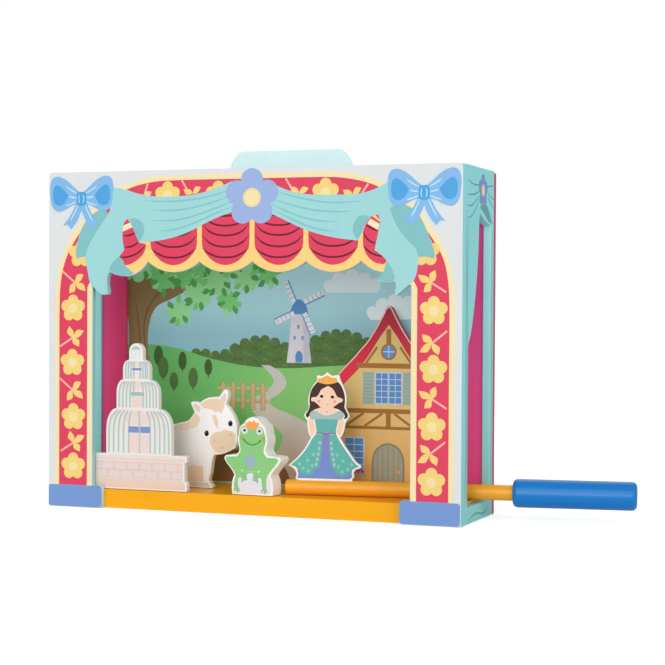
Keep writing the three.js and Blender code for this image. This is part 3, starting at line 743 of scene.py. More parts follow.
def printBow(u, v, name):
    face = PrintedFace(0, 0)
    for side in (1, -1):
        face.lay("bow", 9 + 0.1 * side, shifted(curved(bow["tail"]), u, v, side))
        face.lay("bowLight", 9.5, shifted(stroke(bow["tailFold"], 1), u, v, side))
        face.lay("bow", 9.6 + 0.1 * side, shifted(curved(bow["loop"]), u, v, side))
        face.lay("bowDark", 10.1, shifted(curved(bow["hollow"]), u, v, side))
        for fold in bow["folds"]:
            face.lay("bowLight", 10.1, shifted(stroke(fold, 1), u, v, side))
    face.lay("bowDark", 10.6, shifted(panel(*bow["knot"]), u, v))
    for fold in bow["knotFolds"]:
        face.lay("bowLight", 11, shifted(stroke(fold, 0.8), u, v))
    face.finish(name, "theatre", "front_paint")


printBorder()
printValance()
printDrapery()
printBow(30, 249, "front_bow_left_print")
printBow(320, 249, "front_bow_right_print")
print("front board printed")


# Figures: the outline smoothed, cut from board with rounded edges, with a print that leaves a rim
figureCut = {"gap": 1.2, "corner": 35, "touch": 0.1}


def faceLoop(node, face):
    back = face.place.inverted() @ frame["nodes"][node].matrix_world
    mesh = frame["nodes"][node].data
    edges = set()
    for side in mesh.polygons:
        corners = [back @ mesh.vertices[i].co / mm for i in side.vertices]
        if max(abs(corner.z) for corner in corners) < figureCut["touch"]:
            spots = [(round(corner.x, 2), round(corner.y, 2)) for corner in corners]
            edges.update(zip(spots, spots[1:] + spots[:1]))
    follow = {start: end for start, end in edges if (end, start) not in edges}
    line = [min(follow)]
    while follow[line[-1]] != line[0]:
        line.append(follow[line[-1]])
    depth = -min((back @ vertex.co).z for vertex in mesh.vertices) / mm
    return line, depth


def smoothed(line):
    marked = []
    for i, spot in enumerate(line):
        before = Vector(spot) - Vector(line[i - 1])
        after = Vector(line[(i + 1) % len(line)]) - Vector(spot)
        sharp = abs(before.angle_signed(after)) > math.radians(figureCut["corner"])
        marked.append((*spot, 0) if sharp else spot)
    return curved(marked, gap=figureCut["gap"])


def nearest(spot, start, end):
    across = end - start
    share = (spot - start).dot(across) / max(across.length_squared, 0.000001)
    return start + across * min(max(share, 0), 1)


# A point that comes nearer to the outline than the width, bar a little, is left out
def inset(line, width):
    count = len(line)
    moved = []
    for i, spot in enumerate(line):
        behind, ahead = (spot - line[i - 1]).normalized(), (line[(i + 1) % count] - spot).normalized()
        inward = Vector((-behind.y - ahead.y, behind.x + ahead.x))
        reach = width * 2 / max(inward.length_squared, 1)
        away = spot + inward * reach
        if all((away - nearest(away, line[j - 1], line[j])).length > 0.93 * width for j in range(count)):
            moved.append(away)
    return moved


def cropped(line, low, high):
    for level, side in ((low, 1), (high, -1)):
        kept = []
        for i, spot in enumerate(line):
            last = line[i - 1]
            inside, wasInside = (spot.y - level) * side > 0, (last.y - level) * side > 0
            if inside != wasInside:
                kept.append(last.lerp(spot, (level - last.y) / (spot.y - last.y)))
            if inside:
                kept.append(spot)
        line = kept
    return line


def figureBoard(node, face, colour, ease=0.5):
    loop, depth = faceLoop(node, face)
    outline = smoothed(loop)
    board = face.slab(colour, -depth, 0, outline, ease=ease)
    face.shapes = []
    smoothShaded(board)
    board.name = board.data.name = node + "_board"
    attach(board, frame["nodes"][node]["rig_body"])
    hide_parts(node)
    return outline


# Fountain: streams over three tiers, a brick basin below
fountain = {
    "place": (78.4, 7.2, 0, theatre["figureFoot"]), "rim": 1.5, "basinTop": 28,
    "mortar": (-39, 9.4, 39, 22.4, 0.6), "ledges": [(-40.6, 7.4, 40.6, 7.9), (-41, 24.4, 41, 24.9)],
    "bricks": {"rows": (10, 16.4), "reach": 38.4, "height": 5.2, "pitch": 11.4, "width": 9.8, "least": 2},
    "tiers": ((28.6, 65.3), (65.3, 88.6), (88.6, 104.6)),
    "streams": (
        (-26.6, -22.4, -18, -13.4, -8.8, 0.9, 10.4, 14.8, 19, 23.2, 27),
        (-17.4, -14.2, -11, -7.8, -4.6, 4, 7, 10, 13, 15.8), (-11.8, -9.4, -7, -4.4, 1.4, 3.8, 6, 7.8),
    ),
    "centres": (-0.5, -1.2, -2.4), "width": 1.45, "capTier": (105, 116.2), "capStreams": (-5.8, -2.7, 0.4),
    "cap": [(-6.6, 112.6, 0), (-5.6, 114.6), (-2.7, 115.8), (0.2, 114.6), (1.2, 112.6, 0)],
    "bands": (
        ("bandBlue", (-9, 46, 0.4, 51)), ("bandBlue", (1.6, 46, 10.4, 51)),
        ("bandGrey", (-7, 75.8, 5, 78.6)), ("bandBlue", (-6, 96.2, 2.6, 98)),
    ),
    "panels": ((-8, 30, 0.4, 45), (1.6, 30, 9, 45), (-5, 66.6, 3, 75)),
}


def printBricks(face):
    bricks = fountain["bricks"]
    for row, v in enumerate(bricks["rows"]):
        for i in range(8):
            left = bricks["pitch"] * (i - row / 2) - bricks["reach"]
            right = min(left + bricks["width"], bricks["reach"])
            left = max(left, -bricks["reach"])
            if right - left > bricks["least"]:
                face.lay("brick", 2.2, panel(left, v, right, v + bricks["height"], 0.9))


def printTier(face, outline, low, high, feet, centre):
    face.lay("water", 1, cropped(inset(outline, 1.7), low + 0.4, high - 0.8))
    rise, reach = high - low, 0.24 * (feet[-1] - feet[0])
    face.lay("waterRose", 1.5, disc(centre, high - 0.2 * rise, reach, 0.15 * rise / reach))
    for i, foot in enumerate(feet):
        away = foot - centre
        face.lay("stream", 2 + 0.2 * (i % 2), stroke([
            (foot, low + 1), (foot, low + 0.4 * rise), (centre + 0.985 * away, low + 0.62 * rise),
            (centre + 0.9 * away, low + 0.82 * rise), (centre + 0.7 * away, high - 1.6)],
            fountain["width"], False))


def printFountain():
    face = PrintedFace(*fountain["place"])
    outline = figureBoard("fountain", face, "fountainEdge")
    face.lay("basin", 1, cropped(inset(outline, fountain["rim"]), 0, fountain["basinTop"]))
    face.lay("mortar", 1.6, panel(*fountain["mortar"]))
    printBricks(face)
    face.panels("mortar", 1.6, fountain["ledges"])
    for (low, high), feet, centre in zip(fountain["tiers"], fountain["streams"], fountain["centres"]):
        printTier(face, outline, low, high, feet, centre)
    face.lay("water", 1, cropped(inset(outline, 1.6), *fountain["capTier"]))
    face.lay("stream", 2.5, curved(fountain["cap"]))
    for u in fountain["capStreams"]:
        face.lay("streamPale", 2, stroke([(u, 105.8), (u, 112)], 1.1, False))
    face.panels("waterRose", 2.6, fountain["panels"], 0.8)
    for colour, box in fountain["bands"]:
        face.lay(colour, 3.2, panel(*box, 0.5))
    face.finish("fountain_print", "fountain_figure", "fountain_print")


# Pony: white coat with painted shade, grey on its left where the fountain's shadow falls, with tan mane,
# muzzle and socks
pony = {
    "place": (80, 42, 0, theatre["figureFoot"]), "rim": 1.3,
    "tan": [
        [(4, 45), (8, 49), (14, 50.2), (20, 51.8), (24.4, 52.8), (27.6, 54.8), (30.2, 58), (32.2, 61, 0),
         (36, 58, 0), (36.2, 54), (34, 50, 0), (31, 48.6), (28, 48.4, 0), (25, 46.6), (22, 47.6, 0),
         (20, 46.4), (17, 47.8, 0), (12, 46.4), (8, 45.6, 0)],
        [(36.6, 67.8, 0), (39.6, 70.2), (43.5, 72.2), (48.4, 73), (53, 73), (56.4, 71.6), (58.2, 69.4, 0),
         (57.4, 65), (55, 60.6, 0), (53.6, 62.4), (50, 62, 0), (47.4, 63.6), (44, 64.6, 0), (40, 65.4)],
        [(45.5, 40), (47, 43.5), (50, 45.5), (55, 46.5), (60, 47.4), (65, 46.8), (67.6, 44.6), (68.2, 41),
         (68, 36.4), (66, 33.8), (60, 30.9), (55, 29.2), (50, 30), (47.5, 33), (45.5, 36)],
        [(47.4, 59.6, 0), (50, 59.6), (52.4, 54.6), (52.4, 48.6, 0), (50.6, 50.6), (48.2, 55.6)],
        [(26.4, 5, 0), (25.8, 10), (24.8, 16.2, 0), (30, 18, 0), (39.4, 17.4, 0), (39.8, 10), (39.6, 5, 0)],
        [(2.2, 5, 0), (2.8, 12, 0), (12.9, 12.8, 0), (12.6, 5, 0)],
    ],
    "hooves": [
        [(26.4, 1.3, 0), (26.2, 4.4, 0), (43.4, 4.4, 0), (46, 1.3, 0)],
        [(2.4, 1.3, 0), (2.2, 4.4, 0), (12.6, 4.4, 0), (12.5, 1.3, 0)],
    ],
    "ears": [
        [(30.4, 67.6), (33.6, 67.8), (36.4, 65.6), (35.6, 61.8), (33, 63.4)],
        [(54.9, 73.4), (56.8, 76), (58.6, 77.8), (59.8, 75.4), (59.2, 71), (57.4, 69.8)],
    ],
    "eyes": ((42.4, 44.6), (63.5, 53.2)), "eye": 1.95, "nostrils": ((49.4, 38.8), (63.8, 44.2)),
    "mouth": [(54.4, 34.2), (56.6, 33.2), (59.4, 34)], "muzzleFold": [(57, 47), (58.4, 48), (60.4, 47.8)],
}


def printPony():
    face = PrintedFace(*pony["place"])
    outline = figureBoard("pony", face, "white")
    # The coat ink is painted shade, darker towards the left where the fountain shades the pony
    face.lay("ponyCoat", 1, inset(outline, pony["rim"]))
    face.patches("tan", 2, pony["tan"])
    face.patches("hoof", 2, pony["hooves"])
    face.patches("earPink", 2.3, pony["ears"])
    for u, v in pony["eyes"]:
        face.lay("dark", 2.6, disc(u, v, pony["eye"], 1.2))
        # Each eye gets a printed glint, a small painted highlight above and left of the pupil
        face.lay("board", 3.2, disc(u - 0.7, v + 1.1, 0.28, count=10))
    face.dots("tanDark", 2.8, pony["nostrils"], 0.6, 1.6)
    face.lay("tanDark", 2.8, stroke(pony["mouth"], 0.6), stroke(pony["muzzleFold"], 0.5))
    face.finish("pony_print", "pony_figure", "pony_print")


# Frog: green body on white board
frog = {
    "place": (177.342, 8.6, -3, theatre["figureFoot"]), "rim": 1.4, "groundTop": 24,
    "body": [
        (-10.4, 50.6), (-9.4, 53.4), (-7, 54.5), (-4.6, 53.4), (0, 52.8), (4.4, 53.2), (6.6, 54), (8.8, 53),
        (9.9, 50.6), (11.4, 46), (11.5, 42), (10.3, 38), (9.8, 35.2), (10.6, 32.4), (12.9, 30, 0),
        (17.6, 29.9), (21, 29.7), (22.7, 28.3), (20.6, 25), (16.4, 20), (13.4, 16), (12.3, 12), (12.3, 8),
        (11.6, 5.2), (9.4, 4.8), (8.6, 7), (8.4, 11), (7.6, 14, 0), (-11.8, 13.4, 0), (-12.6, 10),
        (-12.2, 6.4), (-13.2, 4.4), (-15.2, 4.8), (-15.9, 8), (-15.1, 12.4), (-14.6, 15.8), (-17.4, 20),
        (-21.9, 25.2), (-23.3, 28.2), (-22.5, 29.5), (-18, 29.8), (-13.4, 30, 0), (-10.8, 33.4),
        (-10.3, 36.6), (-11.3, 41), (-11.4, 45),
    ],
    "crown": [
        (-6, 56.4), (-5.2, 53.6), (-2.2, 51.9), (1.6, 51.9), (4.6, 53.6), (5.9, 56), (5.2, 57.2, 0),
        (3.4, 57), (1.5, 59, 0), (-0.9, 57.4), (-2.6, 58.4, 0), (-4.3, 57),
    ],
    "belly": [(-5.2, 11, 0), (-4.9, 15.6), (-1.5, 17.4), (2, 16), (2.3, 11, 0)],
    "patch": (-2, 27, 5.4, 0.96), "smile": [(-7.5, 43.5), (-4.2, 40.8), (0, 39.6), (3.9, 40.6), (6.8, 43)],
    "smileEnds": [(-7.4, 43.4), (6.7, 42.9)],
    "limbs": [
        [(-7.9, 17.6), (-8.7, 10.6)], [(-6.8, 17.6), (-6.8, 12)], [(-5.8, 17), (-5.1, 12.2)],
        [(1.8, 16.6), (1.2, 12)], [(2.9, 17), (2.9, 11.8)], [(3.8, 17.6), (4.6, 10.6)],
        [(-14.2, 6), (-15.3, 3.6)], [(-13.4, 6), (-13, 2.4)], [(-12.8, 6), (-11.4, 3.4)],
        [(10.2, 6), (8.4, 3.2)], [(10.8, 6), (10.8, 2.4)], [(11.4, 6), (12.6, 3.4)],
    ],
    "eyes": [(-6.8, 50.8), (6.2, 50.5)], "cheeks": [(-9.6, 45), (9.8, 44.5)],
}


def printFrog():
    face = PrintedFace(*frog["place"])
    outline = figureBoard("frog", face, "white")
    face.lay("frogGround", 1, cropped(inset(outline, frog["rim"]), 0, frog["groundTop"]))
    face.lay("frogGreen", 2, curved(frog["body"]))
    face.lay("frogGround", 3, curved(frog["belly"]))
    face.lay("frogPatch", 3, disc(*frog["patch"]))
    for i, line in enumerate(frog["limbs"]):
        face.lay("frogLimb", 3.4 + 0.1 * (i % 3), stroke(line, 1.3, False))
        face.lay("frogLimb", 3.8 + 0.1 * (i % 3), disc(*line[1], 0.85, count=14))
    face.lay("frogPale", 3, stroke([(-4, 18.6), (3, 18.6)], 0.9), disc(-8.5, 19.2, 0.8), disc(5.6, 18.8, 0.9))
    for u, v in frog["eyes"]:
        face.lay("board", 3, disc(u, v, 2.75))
        face.lay("dark", 3.6, disc(u, v + 0.1, 1.05))
    face.lay("crownOrange", 3.2, curved(frog["crown"]))
    face.dots("frogCheek", 3, frog["cheeks"], 1.4, 1.2)
    face.lay("frogDark", 3.4, stroke(frog["smile"], 0.9, False))
    face.dots("frogDark", 3.8, frog["smileEnds"], 0.9)
    face.finish("frog_print", "frog_figure", "frog_print")


# Princess: brown hair and crown, teal dress open over a violet skirt
princess = {
    "place": (229.996, 29.951, 9, 27.3),
    "hair": [
        (-6.2, 77.2, 0), (-10, 72.6), (-11.9, 68), (-12.6, 63), (-12.4, 58.6), (-13.4, 54.6), (-15.2, 52),
        (-15.3, 50.2), (-13.8, 48.8, 0), (-11.6, 51.6), (-8.6, 55.4, 0), (-3.2, 57.2, 0), (-5.6, 60),
        (-8, 61.6), (-11, 62, 0), (-10.8, 64.8, 0), (-7, 65.4), (-5, 67.6), (-3.2, 71), (0, 73),
        (2.4, 74.2, 0), (6, 72), (8, 69), (9.6, 66), (12, 64.6), (14.4, 63.8, 0), (13.6, 61.8, 0),
        (11.2, 61), (9, 59.4), (6.2, 57.2, 0), (10.4, 56, 0), (14, 53.6), (15.8, 51), (15, 48.2, 0),
        (17.6, 49.2), (18.4, 51.4), (17.2, 54.2), (15.6, 57.6), (15.9, 61), (15.9, 64.6), (15.2, 69),
        (13.6, 73), (11.8, 76), (10.2, 77.4, 0), (5, 75.8), (0, 75.6), (-4, 76.4),
    ],
    "face": [
        (-10.6, 64.8), (-11, 62.8), (-8, 61.4), (-3.4, 57.2, 0), (-8.4, 55.4, 0), (-4.4, 52.8), (1.5, 51.2),
        (6.6, 52.6), (10.2, 55.6, 0), (6.4, 57.2, 0), (10.6, 61.2), (13.8, 62.2), (14.2, 63.8), (12, 64.9),
        (9.6, 66), (8, 69), (6, 72), (2.4, 74.2, 0), (0, 73), (-3.2, 71), (-5, 67.6), (-7, 65.4),
    ],
    "crown": [
        (-6.2, 77, 0), (-5.6, 80, 0), (-3.2, 80.3), (1.6, 82.6, 0), (5.8, 80.6), (9.2, 80.8, 0),
        (10, 77.2, 0), (5, 75.7), (0, 75.5),
    ],
    "arms": [
        [(-12.4, 48.4), (-9.3, 47.6), (-8, 41), (-7.6, 38.2), (-10.6, 34.6), (-12, 38), (-12.9, 42.6)],
        [(11.4, 47.6), (14.7, 47.6), (14.8, 43), (13.8, 39.4), (12.2, 35.2), (9.4, 38), (10.2, 42)],
    ],
    "collar": [
        (-12.4, 50.4), (-11.4, 53.4), (-8.2, 54.8), (-4, 52.4), (1.5, 51), (7, 52.6), (10.8, 54.6),
        (14, 53.4), (15.2, 51), (13.6, 48.2), (11, 47.8), (4, 48), (-2, 48), (-8, 47.8), (-11.4, 48.2),
    ],
    "bodice": [(-8.4, 48.2, 0), (-7.2, 42), (-6.6, 37.4, 0), (8.6, 37.4, 0), (9.4, 42), (10.8, 48.2, 0)],
    "skirt": [
        [(-7, 36.4, 0), (-1.7, 35.8, 0), (-2, 28), (-3, 20), (-4, 12.4), (-6.2, 8.8), (-9.4, 8, 0),
         (-9, 5.4), (-13, 3.8), (-18, 4.6), (-21.2, 7.6), (-23.6, 10), (-27, 11.6, 0), (-22, 16.2),
         (-17.4, 21.2), (-14, 25.8), (-11.2, 30.8), (-9.6, 33.4)],
        [(9, 36.4, 0), (3.5, 35.8, 0), (3.5, 28), (3.9, 20), (4.8, 12.4), (6.6, 8.8), (9, 8, 0), (10, 5),
         (14.8, 3.8), (19.6, 6.4), (22.6, 9), (24.8, 10.2), (27.4, 11.4, 0), (24, 14.2), (20.2, 19),
         (16.8, 23.8), (13.8, 28), (11, 32.4)],
    ],
    "hem": [
        (-20.6, 12, 0), (-21.9, 8), (-21.2, 4.6), (-22, 1.2, 0), (19.6, 1.2, 0), (22.2, 3.2), (21.6, 5.2),
        (22, 8.4), (20.6, 12, 0), (9, 30, 0), (3.6, 36.4, 0), (-1.8, 36.4, 0), (-8, 30, 0),
    ],
    "belt": [(-7, 37.1), (1, 36.7), (9, 37.1)], "knot": [(-0.4, 37, 0), (3.4, 37, 0), (3, 34.4, 0)],
    "eyes": ((-2.7, 65.9), (5.9, 65.5)), "cheeks": ((-5, 62.1), (7.7, 61.9)),
    "mouth": [(0.4, 60.2), (1.6, 59.7), (2.8, 60.2)], "pendant": (1.3, 53.6),
    "trimDots": [
        (-4, 29.4), (-4.6, 25), (-5.2, 20.6), (-6, 16.4), (-6.8, 12.4), (5.2, 29.4), (5.6, 25), (6.2, 20.6),
        (7, 16.4), (7.8, 12.4),
    ],
    "blossoms": [
        (-10, 11.2), (-13.6, 15.4), (-17.4, 9), (-13, 7), (-20.4, 12.6), (11, 11.2), (14.6, 15.4),
        (18.4, 9), (14, 7), (21.6, 12.8), (-9, 20), (10, 20),
    ],
}


def printPrincess():
    face = PrintedFace(*princess["place"])
    figureBoard("princess", face, "white", 0.3)
    for colour, level, part in (
            ("underskirt", 1, "hem"), ("hair", 1, "hair"), ("skin", 2, "face"), ("bodice", 2, "bodice"),
            ("collar", 2.6, "collar"), ("crownGold", 2.6, "crown"), ("belt", 3.4, "knot")):
        face.lay(colour, level, curved(princess[part]))
    face.patches("dress", 2, princess["skirt"])
    face.patches("skin", 1, princess["arms"])
    face.lay("belt", 3, stroke(princess["belt"], 1.2, False))
    face.dots("dark", 2.6, princess["eyes"], 1.4, 0.85)
    face.dots("cheek", 2.6, princess["cheeks"], 1.15)
    face.lay("cheek", 2.6, stroke(princess["mouth"], 0.5))
    face.lay("collar", 2.6, disc(*princess["pendant"], 0.8))
    face.dots("dressDot", 2.6, princess["trimDots"], 1.1, 1.4, 16)
    for u, v in princess["blossoms"]:
        face.lay("dressLight", 2.6, blossom(u, v, 0.9, 0.62))
    face.finish("princess_print", "puppet", "princess_print")


# Cottage: plaster between timbers under a red gable. The wall is its left half, the braces the left ones.
cottage = {
    "place": (270.2, 66, 0, theatre["figureFoot"]), "rim": 1.2, "roof": (84, 150), "roofFrom": 99.5,
    "wall": [
        (-40, 1.4, 0), (-40, 83.6, 0), (-38.6, 85.4, 0), (-30, 93.8), (-23, 101.2), (-15.6, 111.4),
        (-7.8, 123.4), (0, 134, 0),
    ],
    "beams": [(-26.5, 99.4, 26.5, 103.4), (-40, 63.4, 40, 67), (-40, 50.6, 40, 53)],
    "posts": [(-39.8, 46, -36.8, 52), (36.8, 46, 39.8, 52), (-2, 52, 2, 65), (-2, 118.4, 2, 130.6)],
    "braces": [[(-36, 53), (-21, 63.4)], [(-20, 53), (-5, 63.4)], [(-19, 103.4), (-9.6, 116.4)]],
    "gable": {
        "place": (0, 112.6), "frame": 6.6, "glass": 4.9,
        "cross": [(-0.4, 107.8, 0.4, 117.4), (-4.8, 112.2, 4.8, 113)],
    },
    "windows": [(-10.6, 71.6, -0.8, 95.4), (0.8, 71.6, 10.6, 95.4), (-36.4, 17, -21, 43)], "frame": 0.9,
    "bar": 0.3, "panes": 5, "shutters": [(-21.8, 70.6, -12, 96.4), (12, 70.6, 21.8, 96.4)], "slats": 9,
    "slatInset": (1.2, 1.8), "flowerBox": (-38.4, 12.4, -19.4, 15.4, 0.6), "flowers": (-36, 16.4, 3.6, 5),
    "door": [(-13.6, 1.4, 0), (-13.6, 26.4), (-10.88, 34), (-5.712, 38.4), (0, 39.8)], "knob": (9, 17, 1.1),
    "planks": 6,
}


def cottageRule(x, y, z, normal):
    if abs(normal.y) > 0.9:
        return "roofEdge" if normal.y < 0 else "white"
    return "roofRed" if z > cottage["roofFrom"] else "plaster"


def printShutter(face, u0, v0, u1, v1):
    face.lay("shutter", 3, panel(u0, v0, u1, v1, 0.5))
    du, dv = cottage["slatInset"]
    for i in range(cottage["slats"]):
        v = v0 + dv + i * (v1 - v0 - 2 * dv) / (cottage["slats"] - 1)
        face.lay("shutterLine", 3.6, panel(u0 + du, v - cottage["bar"], u1 - du, v + cottage["bar"]))


def printWindow(face, u0, v0, u1, v1):
    rim, bar, middle = cottage["frame"], cottage["bar"], (u0 + u1) / 2
    face.lay("lattice", 3, panel(u0 - rim, v0 - rim, u1 + rim, v1 + rim, 0.6))
    face.lay("glass", 3.6, panel(u0, v0, u1, v1))
    face.lay("lattice", 4.2, panel(middle - bar, v0, middle + bar, v1))
    for i in range(1, cottage["panes"]):
        v = v0 + i * (v1 - v0) / cottage["panes"]
        face.lay("lattice", 4.5, panel(u0, v - bar, u1, v + bar))


def printDoor(face):
    arch = curved(mirrored(cottage["door"]))
    face.lay("doorFrame", 3, arch)
    face.lay("doorWood", 3.6, inset(arch[::-1], 1.5))
    (edge, low, _), (_, rise) = cottage["door"][:2]
    for i in range(1, cottage["planks"]):
        u = -edge * (2 * i / cottage["planks"] - 1)
        top = rise + 11.6 * (1 - (u / edge) ** 2)
        face.lay("doorFrame", 4.2, panel(u - 0.25, low + 2, u + 0.25, top))
    face.lay("crownGold", 4.8, disc(*cottage["knob"]))


def printCottage():
    face = PrintedFace(*cottage["place"])
    outline = figureBoard("cottage", face, "roofEdge")
    paintFaces(bpy.data.objects["cottage_board"], cottageRule)
    face.lay("roofRed", 1, cropped(inset(outline, cottage["rim"]), *cottage["roof"]))
    face.lay("plaster", 2, curved(mirrored(cottage["wall"])))
    face.panels("timber", 3, cottage["beams"])
    face.panels("timber", 2.8, cottage["posts"])
    for line in cottage["braces"]:
        for side in (1, -1):
            face.lay("timber", 2.6, shifted(stroke(line, 2, False), 0, 0, side))
    gable = cottage["gable"]
    face.lay("timber", 3, disc(*gable["place"], gable["frame"]))
    face.lay("glass", 3.6, disc(*gable["place"], gable["glass"]))
    for level, box in zip((4.2, 4.5), gable["cross"]):
        face.lay("lattice", level, panel(*box))
    for box in cottage["shutters"]:
        printShutter(face, *box)
    for box in cottage["windows"]:
        printWindow(face, *box)
    face.lay("shutter", 4, panel(*cottage["flowerBox"]))
    first, v, pitch, count = cottage["flowers"]
    for i in range(count):
        face.lay("red", 4.6, blossom(first + pitch * i, v, 0.9, 0.75))
    printDoor(face)
    face.finish("cottage_print", "cottage_figure", "cottage_print")


# Scene panel: hills under a sky, a round tree, a windmill and a fence beside the path.
# A meadow has its ink, level, rim and top edge; a bush its place, radius and height share.
landscape = {
    "place": (0, 84.4), "sky": (17.5, 16.3, 332.5, 264.9),
    "clouds": [
        [(208, 178), (215, 184), (226, 188.6), (238, 189), (248, 184.6), (256, 178)],
        [(246, 156), (253, 163), (263, 168), (275, 169.4), (286, 165), (295, 157)],
        [(186, 212), (197, 220), (210, 224), (224, 221), (234, 212)],
        [(60, 222), (72, 231), (88, 232), (98, 222)],
    ],
    "wood": [
        (70, 112), (79, 118), (88, 122.5), (97, 124), (106, 122), (115, 121), (124, 124.6), (133, 130),
        (142, 134), (151, 135.6), (160, 134.8), (169, 131), (178, 128), (187, 128.6), (196, 132.6),
        (205, 137.6), (214, 140.6), (223, 141.4), (232, 140), (241, 136.4), (250, 131), (259, 126),
        (268, 122), (277, 119), (286, 117),
    ],
    "woodFoot": 100, "tufts": {"low": 112, "pitch": 5, "drop": 5.4, "slip": 4.5, "size": 2.6},
    "meadows": [
        (
            "meadow", 2, 0.1,
            [(17.5, 128), (45, 130.5), (75, 127.6), (105, 119.6), (140, 113.6), (175, 112.4), (210, 114.6),
             (250, 117.6), (290, 121), (332.5, 123)],
        ),
        (
            "meadowNear", 2.4, 0.2,
            [(17.5, 84), (50, 92), (84, 90), (112, 80), (140, 68), (160, 62), (196, 60), (240, 66),
             (286, 74), (332.5, 78)],
        ),
    ],
    "path": [
        (152, 114.6, 0), (160, 108), (163.5, 101), (158, 94), (147, 87.4), (143, 80), (149, 72), (163, 65),
        (172, 56), (168, 45), (160, 34), (156, 16.6, 0), (214, 16.6, 0), (208, 32), (206, 44), (204, 56),
        (194, 67), (178, 74.6), (164, 80), (160, 85), (168, 91), (175, 99), (171, 108), (160, 114.6, 0),
    ],
    "bushes": [
        (57.4, 121, 4.2, 2), (62, 111, 4.8, 1.9), (80, 117, 3.8, 2), (90, 103, 4.4, 1.9),
        (104, 112, 3.6, 1.9), (72, 100, 4, 1.8),
    ],
    "bank": [
        (96, 16.6, 0), (95, 30), (104, 39.6), (122, 43.4), (144, 42.6), (162, 38), (174, 30),
        (180, 16.6, 0),
    ],
}
fence = {
    "low": 77, "posts": (118, 127, 136, 145, 154), "rails": (83, 93), "past": 5, "height": 3.2, "edge": 0.6,
    "picket": [(-2.2, 0), (-2.2, 21), (0, 25)], "face": [(-1.7, 0.5), (-1.7, 20.8), (0, 24.1)],
}
mill = {
    "place": (186, 121), "body": [(-11, -4, 0), (-8.6, 14, 0), (-7, 36, 0)],
    "shade": [(4, -3.8, 0), (3.4, 35.8, 0), (6.8, 35.8, 0), (8.4, 14, 0), (10.7, -3.8, 0)],
    "cap": [(-8, 36, 0), (-6, 43), (0, 48.4)], "door": [(-3, -3.6, 0), (-3, 3), (0, 6)],
    "windows": [(-4, 15), (3, 15), (-0.6, 24)], "window": (-1, 0, 1, 3.4, 0.8), "hub": 41.6, "turn": 24,
    "spar": 24.6, "sail": [(6, 0), (24, 0), (24, 5.2), (6, 4.4)], "ribs": (10, 14, 18, 22),
}
tree = {
    "trunk": [
        (25, 108, 0), (28, 118), (29.6, 132), (29, 148), (26, 164), (22, 180), (19, 196, 0), (118, 206, 0),
        (104, 192), (88, 179), (70, 169.4), (56, 163), (50, 154, 0), (47.4, 140), (48, 122), (52, 108, 0),
    ],
    "grain": [
        [(40, 112), (39.4, 140), (35, 170)], [(46, 118), (43.6, 146), (48, 166)],
        [(44, 152), (52, 168), (66, 182)],
    ],
    "crowns": [
        (62, 209, 23, 12), (38, 205, 18, 10), (98, 203, 19, 10), (124, 208, 17, 9), (80, 189, 9, 7),
        (112, 186, 11, 7), (150, 205, 14, 8), (138, 187, 9, 6), (60, 185, 8, 6), (95, 172, 9.4, 7),
        (122, 168, 7.6, 6), (77, 158, 8.4, 6), (158, 190, 6.4, 6),
    ],
    "bulge": 0.42, "leaf": 8.4, "leafWidth": 4.6, "crownInks": ("leafGreen", "leafLight"),
    "leafInks": ("leafDark", "leafLight", "leafDark", "leafGreen"),
}


def printWood(face):
    wood, tufts = landscape["wood"], landscape["tufts"]
    feet = [Vector((u, landscape["woodFoot"])) for u in (wood[-1][0], wood[0][0])]
    face.lay("wood", 1.4, scalloped(wood, 0.5, 6) + feet)
    for i, (u, v) in enumerate(wood):
        for k in range(1 + int((v - tufts["low"]) / tufts["pitch"])):
            middle, low, size = u + tufts["slip"] * (k % 2), v - 2 - tufts["drop"] * k, tufts["size"]
            face.lay(("woodLight", "woodDark")[(i + k) % 2], 1.5 + 0.07 * ((2 * i + k) % 5), stroke([
                (middle - size, low), (middle, low + size), (middle + size, low)], 1))


def printFence(face):
    low, edge = fence["low"], fence["edge"]
    left, right = fence["posts"][0] - fence["past"], fence["posts"][-1] + fence["past"]
    for v in fence["rails"]:
        face.lay("fence", 3.2, panel(left, v, right, v + fence["height"], edge))
        face.lay("fenceEdge", 3.4, panel(left + 0.4, v, right - 0.4, v + edge))
    for u in fence["posts"]:
        face.lay("fenceEdge", 3.6, shifted(mirrored(fence["picket"]), u, low))
        face.lay("fence", 4, shifted(mirrored(fence["face"]), u, low))


def printMill(face):
    u, v = mill["place"]
    for colour, level, outline in (("mill", 3, mirrored(mill["body"])), ("millShade", 3.4, mill["shade"]),
                                   ("millBlue", 3.8, mirrored(mill["cap"])),
                                   ("millBlue", 3.8, mirrored(mill["door"]))):
        face.lay(colour, level, shifted(curved(outline), u, v))
    for du, dv in mill["windows"]:
        face.lay("millWindow", 3.8, shifted(panel(*mill["window"]), u + du, v + dv))
    hub = Vector((u, v + mill["hub"]))
    for i in range(4):
        a = math.radians(mill["turn"] + 90 * i)
        out, side = Vector((math.cos(a), math.sin(a))), Vector((-math.sin(a), math.cos(a)))
        face.lay("millSail", 4.2, [hub + out * reach + side * width for reach, width in mill["sail"]])
        face.lay("millBlue", 4.6, stroke([hub + out, hub + out * mill["spar"]], 1, False))
        for reach in mill["ribs"]:
            rib = hub + out * reach
            face.lay("millBlue", 4.4, stroke([rib, rib + side * 4.6], 0.45, False))
    face.lay("millBlue", 5, disc(*hub, 1.8))


